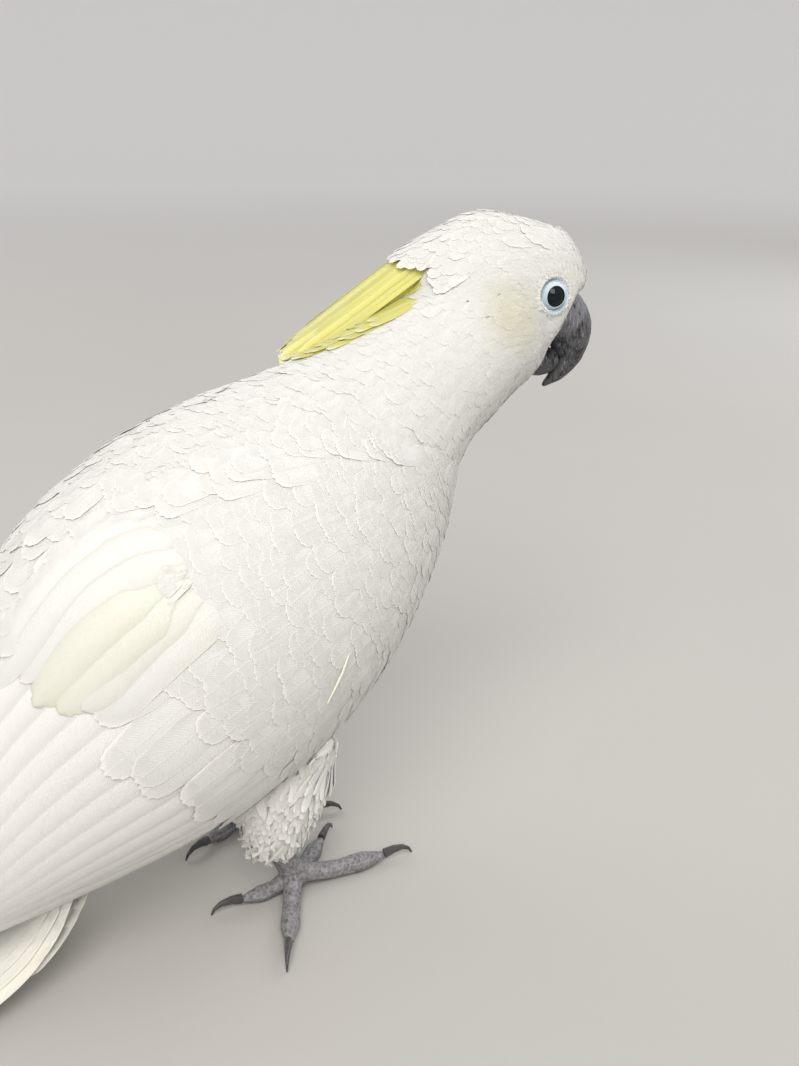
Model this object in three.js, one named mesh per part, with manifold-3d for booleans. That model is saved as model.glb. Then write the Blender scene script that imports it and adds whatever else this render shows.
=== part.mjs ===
// A life-size sulphur-crested cockatoo, standing with its wings and crest folded.
// Millimetres, +X ahead, +Y to the bird's left, +Z up, floor at z = 0.
import * as THREE from "three";
import { mergeVertices } from "three/addons/utils/BufferGeometryUtils.js";
import Module from "manifold-3d";

// ---------------------------------------------------------------- driving dimensions

const GAP = 0.3; // clear space left between neighbouring pieces
const BODY_SIDES = 20; // facets round the trunk, neck and head

// Trunk and neck: sections from the rump to the back of the skull.
// at: middle of the section, wide: half width, up and down: height above and below the middle.
const TRUNK_SECTIONS = [
  { at: [-130, 0, 56], wide: 8, up: 7, down: 8 },
  { at: [-120, 0, 63], wide: 30, up: 24, down: 27 },
  { at: [-102, 0, 77], wide: 50, up: 46, down: 48 },
  { at: [-78, 0, 95], wide: 66, up: 63, down: 66 },
  { at: [-54, 0, 112], wide: 74, up: 74, down: 75 },
  { at: [-32, 0, 129], wide: 77, up: 77, down: 76 },
  { at: [-10, 0, 145], wide: 77, up: 76, down: 75 },
  { at: [12, 0, 161], wide: 73, up: 71, down: 70 },
  { at: [34, -1, 178], wide: 64, up: 62, down: 62 },
  { at: [54, -2, 195], wide: 53, up: 49, down: 50 },
  { at: [76, -3, 213], wide: 41, up: 38, down: 36 },
  { at: [102, -5, 231], wide: 36, up: 34, down: 33 },
  { at: [124, -7, 244], wide: 33, up: 31, down: 32 },
  { at: [138, -8, 252], wide: 24, up: 24, down: 26 },
];

// Head, in its own frame: origin midway between the eyes, x ahead, z up.
const HEAD_AT = [139.6, -7, 257];
const HEAD_TURN = -18; // degrees about +Z: the head looks a little to its right
const HEAD_DIP = 8; // degrees the bill is dipped
const HEAD_SECTIONS = [
  { at: [-46, 0, -14], wide: 20, up: 22, down: 24 },
  { at: [-35, 0, -10], wide: 30, up: 31, down: 35 },
  { at: [-20, 0, -6], wide: 33, up: 34, down: 40 },
  { at: [-4, 0, -4], wide: 31, up: 36, down: 40 },
  { at: [10, 0, -3], wide: 27, up: 34, down: 36 },
  { at: [22, 0, -2], wide: 21, up: 30, down: 28 },
  { at: [31, 0, 0], wide: 12, up: 19, down: 15 },
  { at: [35, 0, 1], wide: 4, up: 5, down: 5 },
];
const EYE = { at: [7, 23.4, 1], radius: 6.2 };

// ---------------------------------------------------------------- small helpers

const wasm = await Module();
wasm.setup();

const vec = (a) => new THREE.Vector3(...a);
const rad = THREE.MathUtils.degToRad;
const { clamp, lerp } = THREE.MathUtils;

// Catmull-Rom blend of rows of numbers, t from 0 at the first row to 1 at the last.
function blend(rows, t) {
  const u = t * (rows.length - 1);
  const i = Math.min(Math.floor(u), rows.length - 2);
  const f = u - i;
  const row = (k) => rows[clamp(i + k, 0, rows.length - 1)];
  return rows[i].map((_, n) => {
    const [a, b, c, d] = [-1, 0, 1, 2].map((k) => row(k)[n]);
    const slopeIn = (c - a) / 2;
    const slopeOut = (d - b) / 2;
    const f2 = f * f;
    const f3 = f2 * f;
    return (
      (2 * f3 - 3 * f2 + 1) * b + (f3 - 2 * f2 + f) * slopeIn + (3 * f2 - 2 * f3) * c + (f3 - f2) * slopeOut
    );
  });
}

const rowsOf = (sections) => sections.map((s) => [...s.at, s.wide, s.up, s.down]);

// A closed mesh from a list of points and triangles, turned so that its faces point outwards.
function closedMesh(points, triangles) {
  let volume = 0;
  for (const [a, b, c] of triangles)
    volume += points[a].dot(new THREE.Vector3().crossVectors(points[b], points[c]));
  const faces = volume < 0 ? triangles.map(([a, b, c]) => [a, c, b]) : triangles;
  return new THREE.BufferGeometry().setFromPoints(points).setIndex(faces.flat());
}

// A closed tube through rings of points, each end closed on the ring's own middle.
function tube(rings) {
  const n = rings[0].length;
  const points = rings.flat();
  const triangles = [];
  for (let i = 0; i + 1 < rings.length; i++)
    for (let j = 0; j < n; j++) {
      const [a, b] = [i * n + j, i * n + ((j + 1) % n)];
      triangles.push([a, b, b + n], [a, b + n, a + n]);
    }
  for (const [ring, first] of [[rings[0], 0], [rings.at(-1), (rings.length - 1) * n]]) {
    const middle = points.length;
    points.push(ring.reduce((sum, p) => sum.add(p), new THREE.Vector3()).divideScalar(n));
    for (let j = 0; j < n; j++) {
      const [a, b] = [first + j, first + ((j + 1) % n)];
      triangles.push(first === 0 ? [b, a, middle] : [a, b, middle]);
    }
  }
  return closedMesh(points, triangles);
}

// A closed plate between two equal grids of points: outer[i][j] and inner[i][j].
function plate(outer, inner) {
  const [m, n] = [outer.length, outer[0].length];
  const points = [...outer.flat(), ...inner.flat()];
  const at = (i, j, side) => side * m * n + i * n + j;
  const triangles = [];
  const quad = (a, b, c, d) => triangles.push([a, b, c], [a, c, d]);
  for (let i = 0; i + 1 < m; i++)
    for (let j = 0; j + 1 < n; j++) {
      quad(at(i, j, 0), at(i + 1, j, 0), at(i + 1, j + 1, 0), at(i, j + 1, 0));
      quad(at(i, j, 1), at(i, j + 1, 1), at(i + 1, j + 1, 1), at(i + 1, j, 1));
    }
  for (let i = 0; i + 1 < m; i++) {
    quad(at(i, 0, 0), at(i, 0, 1), at(i + 1, 0, 1), at(i + 1, 0, 0));
    quad(at(i, n - 1, 0), at(i + 1, n - 1, 0), at(i + 1, n - 1, 1), at(i, n - 1, 1));
  }
  for (let j = 0; j + 1 < n; j++) {
    quad(at(0, j, 0), at(0, j + 1, 0), at(0, j + 1, 1), at(0, j, 1));
    quad(at(m - 1, j, 0), at(m - 1, j, 1), at(m - 1, j + 1, 1), at(m - 1, j + 1, 0));
  }
  return closedMesh(points, triangles);
}

// Frames along a run of sections: the middle of each ring, its left and its top, and the section's row.
function framesAlong(rows, rings, sideways = [0, 1, 0]) {
  const middles = Array.from({ length: rings + 1 }, (_, i) => blend(rows, i / rings));
  return middles.map((row, i) => {
    const before = vec(middles[Math.max(i - 1, 0)].slice(0, 3));
    const after = vec(middles[Math.min(i + 1, rings)].slice(0, 3));
    const along = after.sub(before).normalize();
    const left = vec(sideways).projectOnPlane(along).normalize();
    return { middle: vec(row.slice(0, 3)), left, top: new THREE.Vector3().crossVectors(along, left), row };
  });
}

// The point of a section's outline at an angle measured up from its left.
function outlinePoint({ middle, left, top }, wide, up, down, angle) {
  const rise = Math.sin(angle);
  return middle
    .clone()
    .addScaledVector(left, wide * Math.cos(angle))
    .addScaledVector(top, (rise > 0 ? up : down) * rise);
}

// A closed body through sections of half width, height up and height down along their middles.
function loft(sections, { rings, sides, sideways }) {
  const outlines = framesAlong(rowsOf(sections), rings, sideways).map((frame) =>
    Array.from({ length: sides }, (_, j) =>
      outlinePoint(frame, ...frame.row.slice(3), (2 * Math.PI * j) / sides),
    ),
  );
  return tube(outlines);
}

function solid(geometry) {
  const bare = geometry.clone();
  bare.deleteAttribute("normal");
  bare.deleteAttribute("uv");
  const merged = mergeVertices(bare, 1e-4);
  return new wasm.Manifold(
    new wasm.Mesh({
      numProp: 3,
      vertProperties: merged.attributes.position.array,
      triVerts: new Uint32Array(merged.index.array),
    }),
  );
}

function geometryOf(manifold) {
  const { vertProperties, triVerts } = manifold.getMesh();
  return new THREE.BufferGeometry()
    .setAttribute("position", new THREE.BufferAttribute(vertProperties, 3))
    .setIndex(new THREE.BufferAttribute(triVerts, 1));
}

// A solid grown all round, to be cut from its neighbours.
function withRoom(manifold, room = 0.5) {
  const geometry = geometryOf(manifold);
  geometry.computeVertexNormals();
  const { position, normal } = geometry.attributes;
  const grown = position.array.map((value, i) => value + normal.array[i] * room);
  return solid(geometry.setAttribute("position", new THREE.BufferAttribute(grown, 3))).add(manifold);
}

// Both halves of a solid, parted by a plane with a gap of GAP.
function part(whole, point, normal) {
  const n = vec(normal).normalize();
  const height = n.dot(vec(point));
  return [
    whole.trimByPlane(n.toArray(), height + GAP / 2),
    whole.trimByPlane(n.clone().negate().toArray(), -(height - GAP / 2)),
  ];
}

// ---------------------------------------------------------------- head

const headFrame = new THREE.Matrix4()
  .makeTranslation(...HEAD_AT)
  .multiply(new THREE.Matrix4().makeRotationZ(rad(HEAD_TURN)))
  .multiply(new THREE.Matrix4().makeRotationY(rad(HEAD_DIP)));

const inHead = (geometry) => geometry.applyMatrix4(headFrame);

function headShape() {
  return solid(inHead(loft(HEAD_SECTIONS, { rings: 9, sides: BODY_SIDES })));
}

// The space in front of the cheeks and under the brow where only the bill is: its outline from the side.
const BILL_SPACE = [
  [21, 3],
  [60, 3],
  [60, -80],
  [-13, -80],
];

function billSpace() {
  const outline = new THREE.Shape(BILL_SPACE.map(([x, z]) => new THREE.Vector2(x, z)));
  const block = new THREE.ExtrudeGeometry(outline, { depth: 100, bevelEnabled: false });
  return solid(inHead(block.rotateX(Math.PI / 2).translate(0, 50, 0)));
}

function eyeball(side) {
  const ball = new THREE.SphereGeometry(EYE.radius, 12, 7);
  ball.translate(EYE.at[0], side * EYE.at[1], EYE.at[2]);
  return solid(inHead(ball));
}

// Upper bill: a deep hook. Lower bill: a short scoop behind it.
const BILL_UPPER = [
  { at: [8, 0, -11], wide: 9, up: 11, down: 12 },
  { at: [20, 0, -8], wide: 11.5, up: 12, down: 14 },
  { at: [28.5, 0, -15.5], wide: 10.5, up: 11.5, down: 12 },
  { at: [31, 0, -26], wide: 8, up: 8, down: 9 },
  { at: [28, 0, -36], wide: 4.6, up: 4.5, down: 4.5 },
  { at: [21.5, 0, -43.5], wide: 1, up: 1, down: 1 },
];
const BILL_LOWER = [
  { at: [0, 0, -27], wide: 9, up: 7, down: 8 },
  { at: [10, 0, -31], wide: 10, up: 9, down: 8 },
  { at: [18, 0, -32], wide: 8.5, up: 8, down: 7 },
  { at: [24, 0, -30], wide: 6, up: 4, down: 4 },
];

function billUpper() {
  return solid(inHead(loft(BILL_UPPER, { rings: 10, sides: 14 })));
}

function billLower() {
  return solid(inHead(loft(BILL_LOWER, { rings: 5, sides: 12 })));
}

// Folded crest: a long flat plume lying back over the crown and nape.
const CREST = [
  { at: [-105, 0, -41], wide: 6, up: 2.5, down: 2.5 },
  { at: [-94.5, 0, -34], wide: 8, up: 4.5, down: 4.5 },
  { at: [-74, 0, -16.5], wide: 10.5, up: 6, down: 6.5 },
  { at: [-52, 0, 3], wide: 12, up: 7, down: 7.5 },
  { at: [-38, 0, 14.5], wide: 13, up: 6, down: 7 },
  { at: [-22, 0, 26], wide: 13, up: 4.5, down: 6 },
  { at: [-4, 0, 31], wide: 10, up: 3, down: 5 },
  { at: [14, 0, 29], wide: 5, up: 1.8, down: 3 },
];

function crestShape() {
  return solid(inHead(loft(CREST, { rings: 9, sides: 10 })));
}

// ---------------------------------------------------------------- wings

// A folded wing is a curved plate wrapped round the body, from the wrist by the breast to the tips
// over the tail. Each section has the body's middle there, the half width and heights of the wing's
// outer face, the angles at which its lower and upper edges lie, up from straight sideways, and its
// thickness.
const WING_SECTIONS = [
  { at: [64, 0, 203], wide: 48, up: 44, down: 48, low: -46, high: 0, thick: 3 },
  { at: [50, 0, 191], wide: 58, up: 56, down: 58, low: -60, high: 34, thick: 6 },
  { at: [31, 0, 176], wide: 68, up: 65, down: 67, low: -68, high: 54, thick: 8 },
  { at: [8, 0, 158], wide: 76, up: 74, down: 74, low: -68, high: 66, thick: 8.5 },
  { at: [-16, 0, 140], wide: 79, up: 78, down: 78, low: -64, high: 74, thick: 8.5 },
  { at: [-42, 0, 121], wide: 78, up: 78, down: 76, low: -63, high: 79, thick: 8 },
  { at: [-68, 0, 102], wide: 71, up: 71, down: 70, low: -60, high: 81, thick: 7 },
  { at: [-94, 0, 83], wide: 60, up: 60, down: 58, low: -56, high: 82, thick: 6 },
  { at: [-118, 0, 65], wide: 48, up: 47, down: 44, low: -50, high: 80, thick: 5 },
  { at: [-140, 0, 49], wide: 36, up: 34, down: 30, low: -42, high: 74, thick: 3.6 },
  { at: [-160, 0, 35], wide: 25, up: 22, down: 18, low: -30, high: 60, thick: 2.4 },
  { at: [-176, 0, 24], wide: 16, up: 13, down: 8, low: -8, high: 35, thick: 1.6 },
];
const WING_ALONG = 14;
const WING_ACROSS = 8;

function wingPlate(side, out = 0) {
  const rows = rowsOf(WING_SECTIONS).map((row, i) => {
    const { low, high, thick } = WING_SECTIONS[i];
    return [...row, low, high, thick];
  });
  const outer = [];
  const inner = [];
  for (const frame of framesAlong(rows, WING_ALONG, [0, side, 0])) {
    frame.top.multiplyScalar(-side);
    const [wide, up, down, low, high, thick] = frame.row.slice(3);
    const line = (depth) =>
      Array.from({ length: WING_ACROSS + 1 }, (_, j) => {
        const across = (2 * j) / WING_ACROSS - 1; // -1 at the lower edge, 1 at the upper
        const grow = depth(1 - 0.55 * Math.abs(across) ** 3);
        const angle = rad(lerp(low, high, (across + 1) / 2));
        return outlinePoint(frame, wide + grow, up + grow, down + grow, angle);
      });
    outer.push(line(() => out));
    inner.push(line((edge) => -thick * edge));
  }
  return solid(plate(outer, inner));
}

// ---------------------------------------------------------------- tail

// The tail comes down from under the rump and lies along the floor, fanned a little.
const TAIL = {
  path: [
    [-92, 0, 52],
    [-110, 0, 14],
    [-140, 0, 0.8],
    [-256, 0, 0.8],
  ],
  halfBase: 24,
  halfTip: 46,
  thickBase: 10,
  thickTip: 2.4,
  feathers: 12,
};

function tailShape() {
  const curve = new THREE.CubicBezierCurve3(...TAIL.path.map(vec));
  const along = 6;
  const across = TAIL.feathers * 2;
  const top = [];
  const bottom = [];
  for (let i = 0; i <= along; i++) {
    const line = Array.from({ length: across + 1 }, (_, j) => {
      const t = (2 * j) / across - 1;
      const scallop = j % 2 === 0 ? 0.018 : 0; // each feather has a rounded tip
      const s = (i / along) * (1 - 0.1 * t * t - scallop);
      const middle = curve.getPoint(s);
      const half = lerp(TAIL.halfBase, TAIL.halfTip, s ** 0.8);
      const thick = lerp(TAIL.thickBase, TAIL.thickTip, Math.min(1, s * 1.3));
      const sag = (1 - s) * 8 * t * t;
      return (face) => new THREE.Vector3(middle.x, half * t, middle.z - sag + (face * thick) / 2);
    });
    top.push(line.map((point) => point(1)));
    bottom.push(line.map((point) => point(-1)));
  }
  return solid(plate(top, bottom));
}

// ---------------------------------------------------------------- legs

const FEET = {
  right: { side: -1, turn: -16, ankle: [-8, -29, 32], sole: [2, -29, 8] },
  left: { side: 1, turn: 0, ankle: [-4, 29, 32], sole: [7, 30, 8] },
};
const THIGH = [
  { up: 50, wide: 22, deep: 24 },
  { up: 28, wide: 21, deep: 22 },
  { up: 8, wide: 15, deep: 16 },
  { up: -4, wide: 7.5, deep: 7.5 },
];
const TOES = [
  { heading: 24, length: 44, radius: 4.8 }, // outer front
  { heading: -22, length: 33, radius: 4.4 }, // inner front
  { heading: 138, length: 40, radius: 4.6 }, // outer rear
  { heading: -160, length: 24, radius: 4.2 }, // inner rear
];
const CLAW = { length: 15, radius: 2.6 };

function thighShape({ ankle }) {
  const sections = THIGH.map((t) => ({
    at: [ankle[0] + t.up * 0.2, ankle[1], ankle[2] + t.up],
    wide: t.wide,
    up: t.deep,
    down: t.deep,
  }));
  return solid(loft(sections, { rings: 6, sides: 12 }));
}

function shankShape({ ankle, sole }) {
  const sections = [
    { at: [ankle[0] + 2, ankle[1], ankle[2] + 4], wide: 5, up: 6, down: 5 },
    { at: ankle, wide: 6, up: 6.5, down: 6 },
    { at: vec(ankle).lerp(vec(sole), 0.55).toArray(), wide: 5.2, up: 5, down: 5 },
    { at: [sole[0], sole[1], sole[2] + 1], wide: 7, up: 7, down: 6.5 },
    { at: [sole[0] + 1, sole[1], sole[2] - 5], wide: 5, up: 5, down: 5 },
  ];
  return solid(loft(sections, { rings: 5, sides: 8 }));
}

// Direction of a toe on the floor. Headings turn outwards from straight ahead.
function toeHeading(foot, toe) {
  const angle = rad(toe.heading + foot.turn) * foot.side;
  return new THREE.Vector3(Math.cos(angle), Math.sin(angle), 0);
}

function toeShape(foot, toe) {
  const way = toeHeading(foot, toe);
  const start = vec(foot.sole);
  const sections = [0, 0.2, 0.45, 0.75, 1].map((t) => {
    const at = start.clone().addScaledVector(way, toe.length * t);
    const knuckle = 1 - 0.18 * t + 0.05 * Math.cos(6 * Math.PI * t);
    const r = toe.radius * knuckle;
    at.z = lerp(foot.sole[2], r * 0.92, Math.min(1, t * 2.2));
    return { at: at.toArray(), wide: r, up: r, down: r };
  });
  return solid(loft(sections, { rings: 5, sides: 7, sideways: [-way.y, way.x, 0] }));
}

function clawShape(foot, toe) {
  const way = toeHeading(foot, toe);
  const r = toe.radius * 0.82;
  const sections = [0, 0.35, 0.7, 1].map((t) => {
    const at = vec(foot.sole).addScaledVector(way, toe.length + r * 0.4 + CLAW.length * Math.sin(t * 1.35));
    const radius = lerp(CLAW.radius, 0.5, t);
    at.z = r + 0.6 + 2.4 * Math.sin(Math.PI * t * 0.8) - t * t * (r + 1.2);
    return { at: at.toArray(), wide: radius * 0.8, up: radius, down: radius };
  });
  return solid(loft(sections, { rings: 4, sides: 6, sideways: [-way.y, way.x, 0] }));
}

// ---------------------------------------------------------------- assembly

const finish = {
  plumage: { color: "#eeece4", roughness: 0.85, metalness: 0 },
  crest: { color: "#e6df52", roughness: 0.8, metalness: 0 },
  bill: { color: "#2f3033", roughness: 0.45, metalness: 0 },
  eye: { color: "#15110f", roughness: 0.1, metalness: 0 },
  foot: { color: "#55565a", roughness: 0.8, metalness: 0 },
  claw: { color: "#2b2a2b", roughness: 0.4, metalness: 0 },
};

const cockatoo = new THREE.Group();

function add(name, manifold, look) {
  const mesh = new THREE.Mesh(geometryOf(manifold), new THREE.MeshStandardMaterial(finish[look]));
  mesh.name = name;
  cockatoo.add(mesh);
}

const floorCut = (manifold) => manifold.trimByPlane([0, 0, 1], 0);

// The flesh is one body first, and is then cut round the wings, crest, bill and eyes.
const [upperBill, crest, tail] = [billUpper(), crestShape(), floorCut(tailShape())];
const lowerBill = billLower().subtract(withRoom(upperBill));
const wings = { right: wingPlate(-1), left: wingPlate(1) };
// Under a wing the body is cut back to the wing's inner face, and nothing is left outside it.
const wingCuts = [-1, 1].map((side) => withRoom(wingPlate(side)).add(withRoom(wingPlate(side, 25))));
const eyes = { right: eyeball(-1), left: eyeball(1) };
const thighOf = (name) => thighShape(FEET[name]).subtract(withRoom(wings[name]));
const thighs = { right: thighOf("right"), left: thighOf("left") };

const whole = solid(loft(TRUNK_SECTIONS, { rings: 15, sides: BODY_SIDES })).add(headShape());
const flesh = [upperBill, billLower(), crest, tail, eyes.right, eyes.left]
  .concat(Object.values(FEET).map(thighShape))
  .map((neighbour) => withRoom(neighbour))
  .concat(wingCuts)
  .reduce((rest, cut) => rest.subtract(cut), whole.subtract(billSpace()));
const [front, trunk] = part(flesh, [84, 0, 207], [0.72, 0, 0.69]);
const [head, neck] = part(front, [112, 0, 238], [0.78, -0.12, 0.62]);

const biggest = (manifold) => manifold.decompose().reduce((a, b) => (b.volume() > a.volume() ? b : a));

add("trunk", biggest(trunk), "plumage");
add("neck", biggest(neck), "plumage");
add("head", biggest(head), "plumage");
add("crest", crest, "crest");
add("bill_upper", upperBill, "bill");
add("bill_lower", biggest(lowerBill), "bill");
add("tail", biggest(tail.subtract(withRoom(wings.left)).subtract(withRoom(wings.right))), "plumage");
for (const [name, foot] of Object.entries(FEET)) {
  add(`eye_${name}`, eyes[name], "eye");
  add(`wing_${name}`, biggest(wings[name].subtract(withRoom(crest))), "plumage");
  add(`thigh_${name}`, biggest(thighs[name]), "plumage");
  const toes = TOES.map((toe) => toeShape(foot, toe));
  const leg = toes.reduce((sum, toe) => sum.add(toe), shankShape(foot)).subtract(withRoom(thighs[name]));
  add(`foot_${name}`, biggest(floorCut(leg)), "foot");
  TOES.forEach((toe, i) => {
    const claw = clawShape(foot, toe).subtract(withRoom(leg));
    add(`claw_${name}_${i + 1}`, biggest(floorCut(claw)), "claw");
  });
}

// The origin is moved to the middle of the base of the whole bird.
const box = new THREE.Box3().setFromObject(cockatoo);
const middle = box.getCenter(new THREE.Vector3());
for (const mesh of cockatoo.children) mesh.geometry.translate(-middle.x, -middle.y, -box.min.z);

export default cockatoo;
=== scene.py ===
# %% [markdown]
# # A white cockatoo, life size
#
# The bird stands on the floor with folded wings, its yellow crest laid back and its head turned a
# little aside. A live bird is white all over, so nearly all of what the eye reads is form: the
# feathers' edges, how they overlap, and the soft shade between them. That is why every feather
# here is a thin mesh of its own, laid over a smooth skin.
#
# The CAD frame comes first. Its solids give the outline out to the feathers' surface.

import math
from itertools import product

import bmesh
import bpy
import numpy as np
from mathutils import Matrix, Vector, noise
from mathutils.bvhtree import BVHTree


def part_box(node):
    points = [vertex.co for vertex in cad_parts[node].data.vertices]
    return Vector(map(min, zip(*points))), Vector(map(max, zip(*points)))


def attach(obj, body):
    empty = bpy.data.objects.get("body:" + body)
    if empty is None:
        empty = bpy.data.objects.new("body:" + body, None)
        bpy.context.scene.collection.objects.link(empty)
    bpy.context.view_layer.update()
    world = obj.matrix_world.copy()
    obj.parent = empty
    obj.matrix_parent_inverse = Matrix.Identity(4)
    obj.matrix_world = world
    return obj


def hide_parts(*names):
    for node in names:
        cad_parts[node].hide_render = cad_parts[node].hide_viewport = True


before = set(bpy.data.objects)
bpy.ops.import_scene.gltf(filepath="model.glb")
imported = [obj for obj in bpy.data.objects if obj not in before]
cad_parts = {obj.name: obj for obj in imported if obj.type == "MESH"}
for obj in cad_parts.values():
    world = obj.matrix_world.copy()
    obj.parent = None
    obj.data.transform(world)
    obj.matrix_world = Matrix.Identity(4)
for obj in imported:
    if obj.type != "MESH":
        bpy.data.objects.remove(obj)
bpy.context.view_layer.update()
MM = 0.001

# %% [markdown]
# ## Where things are
#
# The sizes below are the ones the solids were made from, in millimetres. The head has a frame of
# its own, with its origin between the eyes. The place of the whole bird is read off the frame:
# the middle of the right eye's box says where that frame lies.

# %% Body and head sizes
HEAD_AT = np.array([139.6, -7.0, 257.0])
HEAD_TURN, HEAD_DIP = math.radians(-18), math.radians(8)
EYE_AT, EYE_RADIUS = np.array([7.0, 23.4, 1.0]), 6.2
SIDES = {"right": -1, "left": 1}

# The line down the middle of the bird, from inside the head to the rump: x and z.
BODY_AXIS = [(150, 258), (124, 244), (102, 231), (76, 213), (54, 195), (34, 178), (12, 161),
             (-10, 145), (-32, 129), (-54, 112), (-78, 95), (-102, 77), (-130, 56)]

# A folded wing's outer face, from the wrist to the tips: middle (x, z), half width, half heights
# above and below, and the angles of its lower and upper edges.
WING_ROWS = np.array([
    [64, 203, 48, 44, 48, -46, 0],
    [50, 191, 58, 56, 58, -60, 34],
    [31, 176, 68, 65, 67, -68, 54],
    [8, 158, 76, 74, 74, -68, 66],
    [-16, 140, 79, 78, 78, -64, 74],
    [-42, 121, 78, 78, 76, -63, 79],
    [-68, 102, 71, 71, 70, -60, 81],
    [-94, 83, 60, 60, 58, -56, 82],
    [-118, 65, 48, 47, 44, -50, 80],
    [-140, 49, 36, 34, 30, -42, 74],
    [-160, 35, 25, 22, 18, -30, 60],
    [-176, 24, 16, 13, 8, -8, 35],
], float)

HEAD_TO_BODY = (
    np.array([[math.cos(HEAD_TURN), -math.sin(HEAD_TURN), 0],
              [math.sin(HEAD_TURN), math.cos(HEAD_TURN), 0],
              [0, 0, 1]])
    @ np.array([[math.cos(HEAD_DIP), 0, math.sin(HEAD_DIP)],
                [0, 1, 0],
                [-math.sin(HEAD_DIP), 0, math.cos(HEAD_DIP)]])
)


def head_point(p):
    """Millimetres in the head's frame to millimetres in the body's."""
    return np.asarray(p, float) @ HEAD_TO_BODY.T + HEAD_AT


def mirrored(p, side):
    """A place given for the left side (1), or its mirror image on the right (-1)."""
    return p * np.array([1, side, 1])


eye_box = np.array([list(corner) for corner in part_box("eye_right")])
ORIGIN = eye_box.mean(axis=0) - head_point(mirrored(EYE_AT, -1)) * MM


def place(p):
    """Millimetres in the body's frame to metres in the row frame."""
    return ORIGIN + np.asarray(p, float) * MM


def unplace(p):
    return (np.asarray(p, float) - ORIGIN) / MM


def in_head(p):
    """Metres in the row frame to millimetres in the head's frame."""
    return (unplace(p) - HEAD_AT) @ HEAD_TO_BODY


print("body frame's origin in the row frame, mm:", (ORIGIN / MM).round(2))

# %% [markdown]
# ## Small helpers
#
# A few helpers are used all through: a smooth step, a curve through rows of numbers, a mesh made
# from arrays, the nearest place on a surface, and the lines that attach a finished piece to the root
# and hide the CAD nodes that it replaces.

# %% Arithmetic and meshes


def smoothstep(low, high, x):
    t = np.clip((np.asarray(x, float) - low) / (high - low), 0, 1)
    return t * t * (3 - 2 * t)


def unit(v):
    return v / np.maximum(np.linalg.norm(v, axis=-1, keepdims=True), 1e-12)


def blend(rows, t):
    """A Catmull-Rom curve through rows of numbers, for each t from 0 to 1. Past an end it goes
    straight on."""
    rows, t = np.asarray(rows, float), np.atleast_1d(np.asarray(t, float))
    u = np.clip(t, 0, 1) * (len(rows) - 1)
    i = np.minimum(u.astype(int), len(rows) - 2)
    f = (u - i)[:, None]
    a, b, c, d = (rows[np.clip(i + k, 0, len(rows) - 1)] for k in (-1, 0, 1, 2))
    p = ((2 * f**3 - 3 * f**2 + 1) * b + (f**3 - 2 * f**2 + f) * (c - a) / 2
         + (3 * f**2 - 2 * f**3) * c + (f**3 - f**2) * (d - b) / 2)
    over = (t - np.clip(t, 0, 1))[:, None] * (len(rows) - 1)
    ends = np.where(over > 0, rows[-1] - rows[-2], rows[1] - rows[0])
    return p + over * ends


def new_object(name, data):
    obj = bpy.data.objects.new(name, data)
    bpy.context.scene.collection.objects.link(obj)
    return obj


def mesh_object(name, points, faces):
    mesh = bpy.data.meshes.new(name)
    mesh.from_pydata(np.asarray(points, float).tolist(), [], [list(map(int, f)) for f in faces])
    mesh.validate()
    mesh.shade_smooth()
    return new_object(name, mesh)


def points_of(mesh):
    flat = np.empty(len(mesh.vertices) * 3)
    mesh.vertices.foreach_get("co", flat)
    return flat.reshape(-1, 3)


def set_points(mesh, points):
    mesh.vertices.foreach_set("co", np.asarray(points, float).ravel())
    mesh.update()


def normals_of(mesh):
    flat = np.empty(len(mesh.vertices) * 3)
    mesh.vertex_normals.foreach_get("vector", flat)
    return flat.reshape(-1, 3)


def edges_of(mesh):
    flat = np.empty(len(mesh.edges) * 2, dtype=np.int32)
    mesh.edges.foreach_get("vertices", flat)
    return flat.reshape(-1, 2)


def store(mesh, name, values):
    """Keeps a value for each point of a mesh under a name."""
    values = np.asarray(values, float)
    kind, field = ("FLOAT", "value") if values.ndim == 1 else ("FLOAT_VECTOR", "vector")
    mesh.attributes.new(name, kind, "POINT").data.foreach_set(field, values.ravel())


def relax(points, edges, rounds):
    """Smooths a mesh: each round moves points towards the middle of their neighbours, then a
    little further back, which keeps the shape from shrinking."""
    points = points.copy()
    count = np.maximum(np.bincount(edges.ravel(), minlength=len(points)), 1)[:, None]
    for step in (0.5, -0.52) * rounds:
        total = np.zeros_like(points)
        for axis in range(3):
            total[:, axis] = (
                np.bincount(edges[:, 0], points[edges[:, 1], axis], len(points))
                + np.bincount(edges[:, 1], points[edges[:, 0], axis], len(points)))
        points += (total / count - points) * step
    return points


def baked(obj):
    """The object's mesh with its modifiers applied."""
    graph = bpy.context.evaluated_depsgraph_get()
    return bpy.data.meshes.new_from_object(
        obj.evaluated_get(graph), preserve_all_data_layers=True, depsgraph=graph)


def settle(obj):
    """Applies an object's modifiers for good."""
    mesh = baked(obj)
    obj.modifiers.clear()
    old, obj.data = obj.data, mesh
    bpy.data.meshes.remove(old)
    obj.data.name = obj.name
    return obj


def ring_faces(m, n):
    """Faces between m rings of n points each."""
    return [(i * n + j, i * n + (j + 1) % n, (i + 1) * n + (j + 1) % n, (i + 1) * n + j)
            for i in range(m - 1) for j in range(n)]


def tube(rings):
    """Points and faces of a closed tube through rings of points, shaped (rings, sides, 3)."""
    m, n = rings.shape[:2]
    points = np.vstack([rings.reshape(-1, 3), rings[0].mean(0), rings[-1].mean(0)])
    first, last = m * n, m * n + 1
    faces = ring_faces(m, n)
    faces += [(first, (j + 1) % n, j) for j in range(n)]
    faces += [(last, (m - 1) * n + j, (m - 1) * n + (j + 1) % n) for j in range(n)]
    return points, faces


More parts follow.
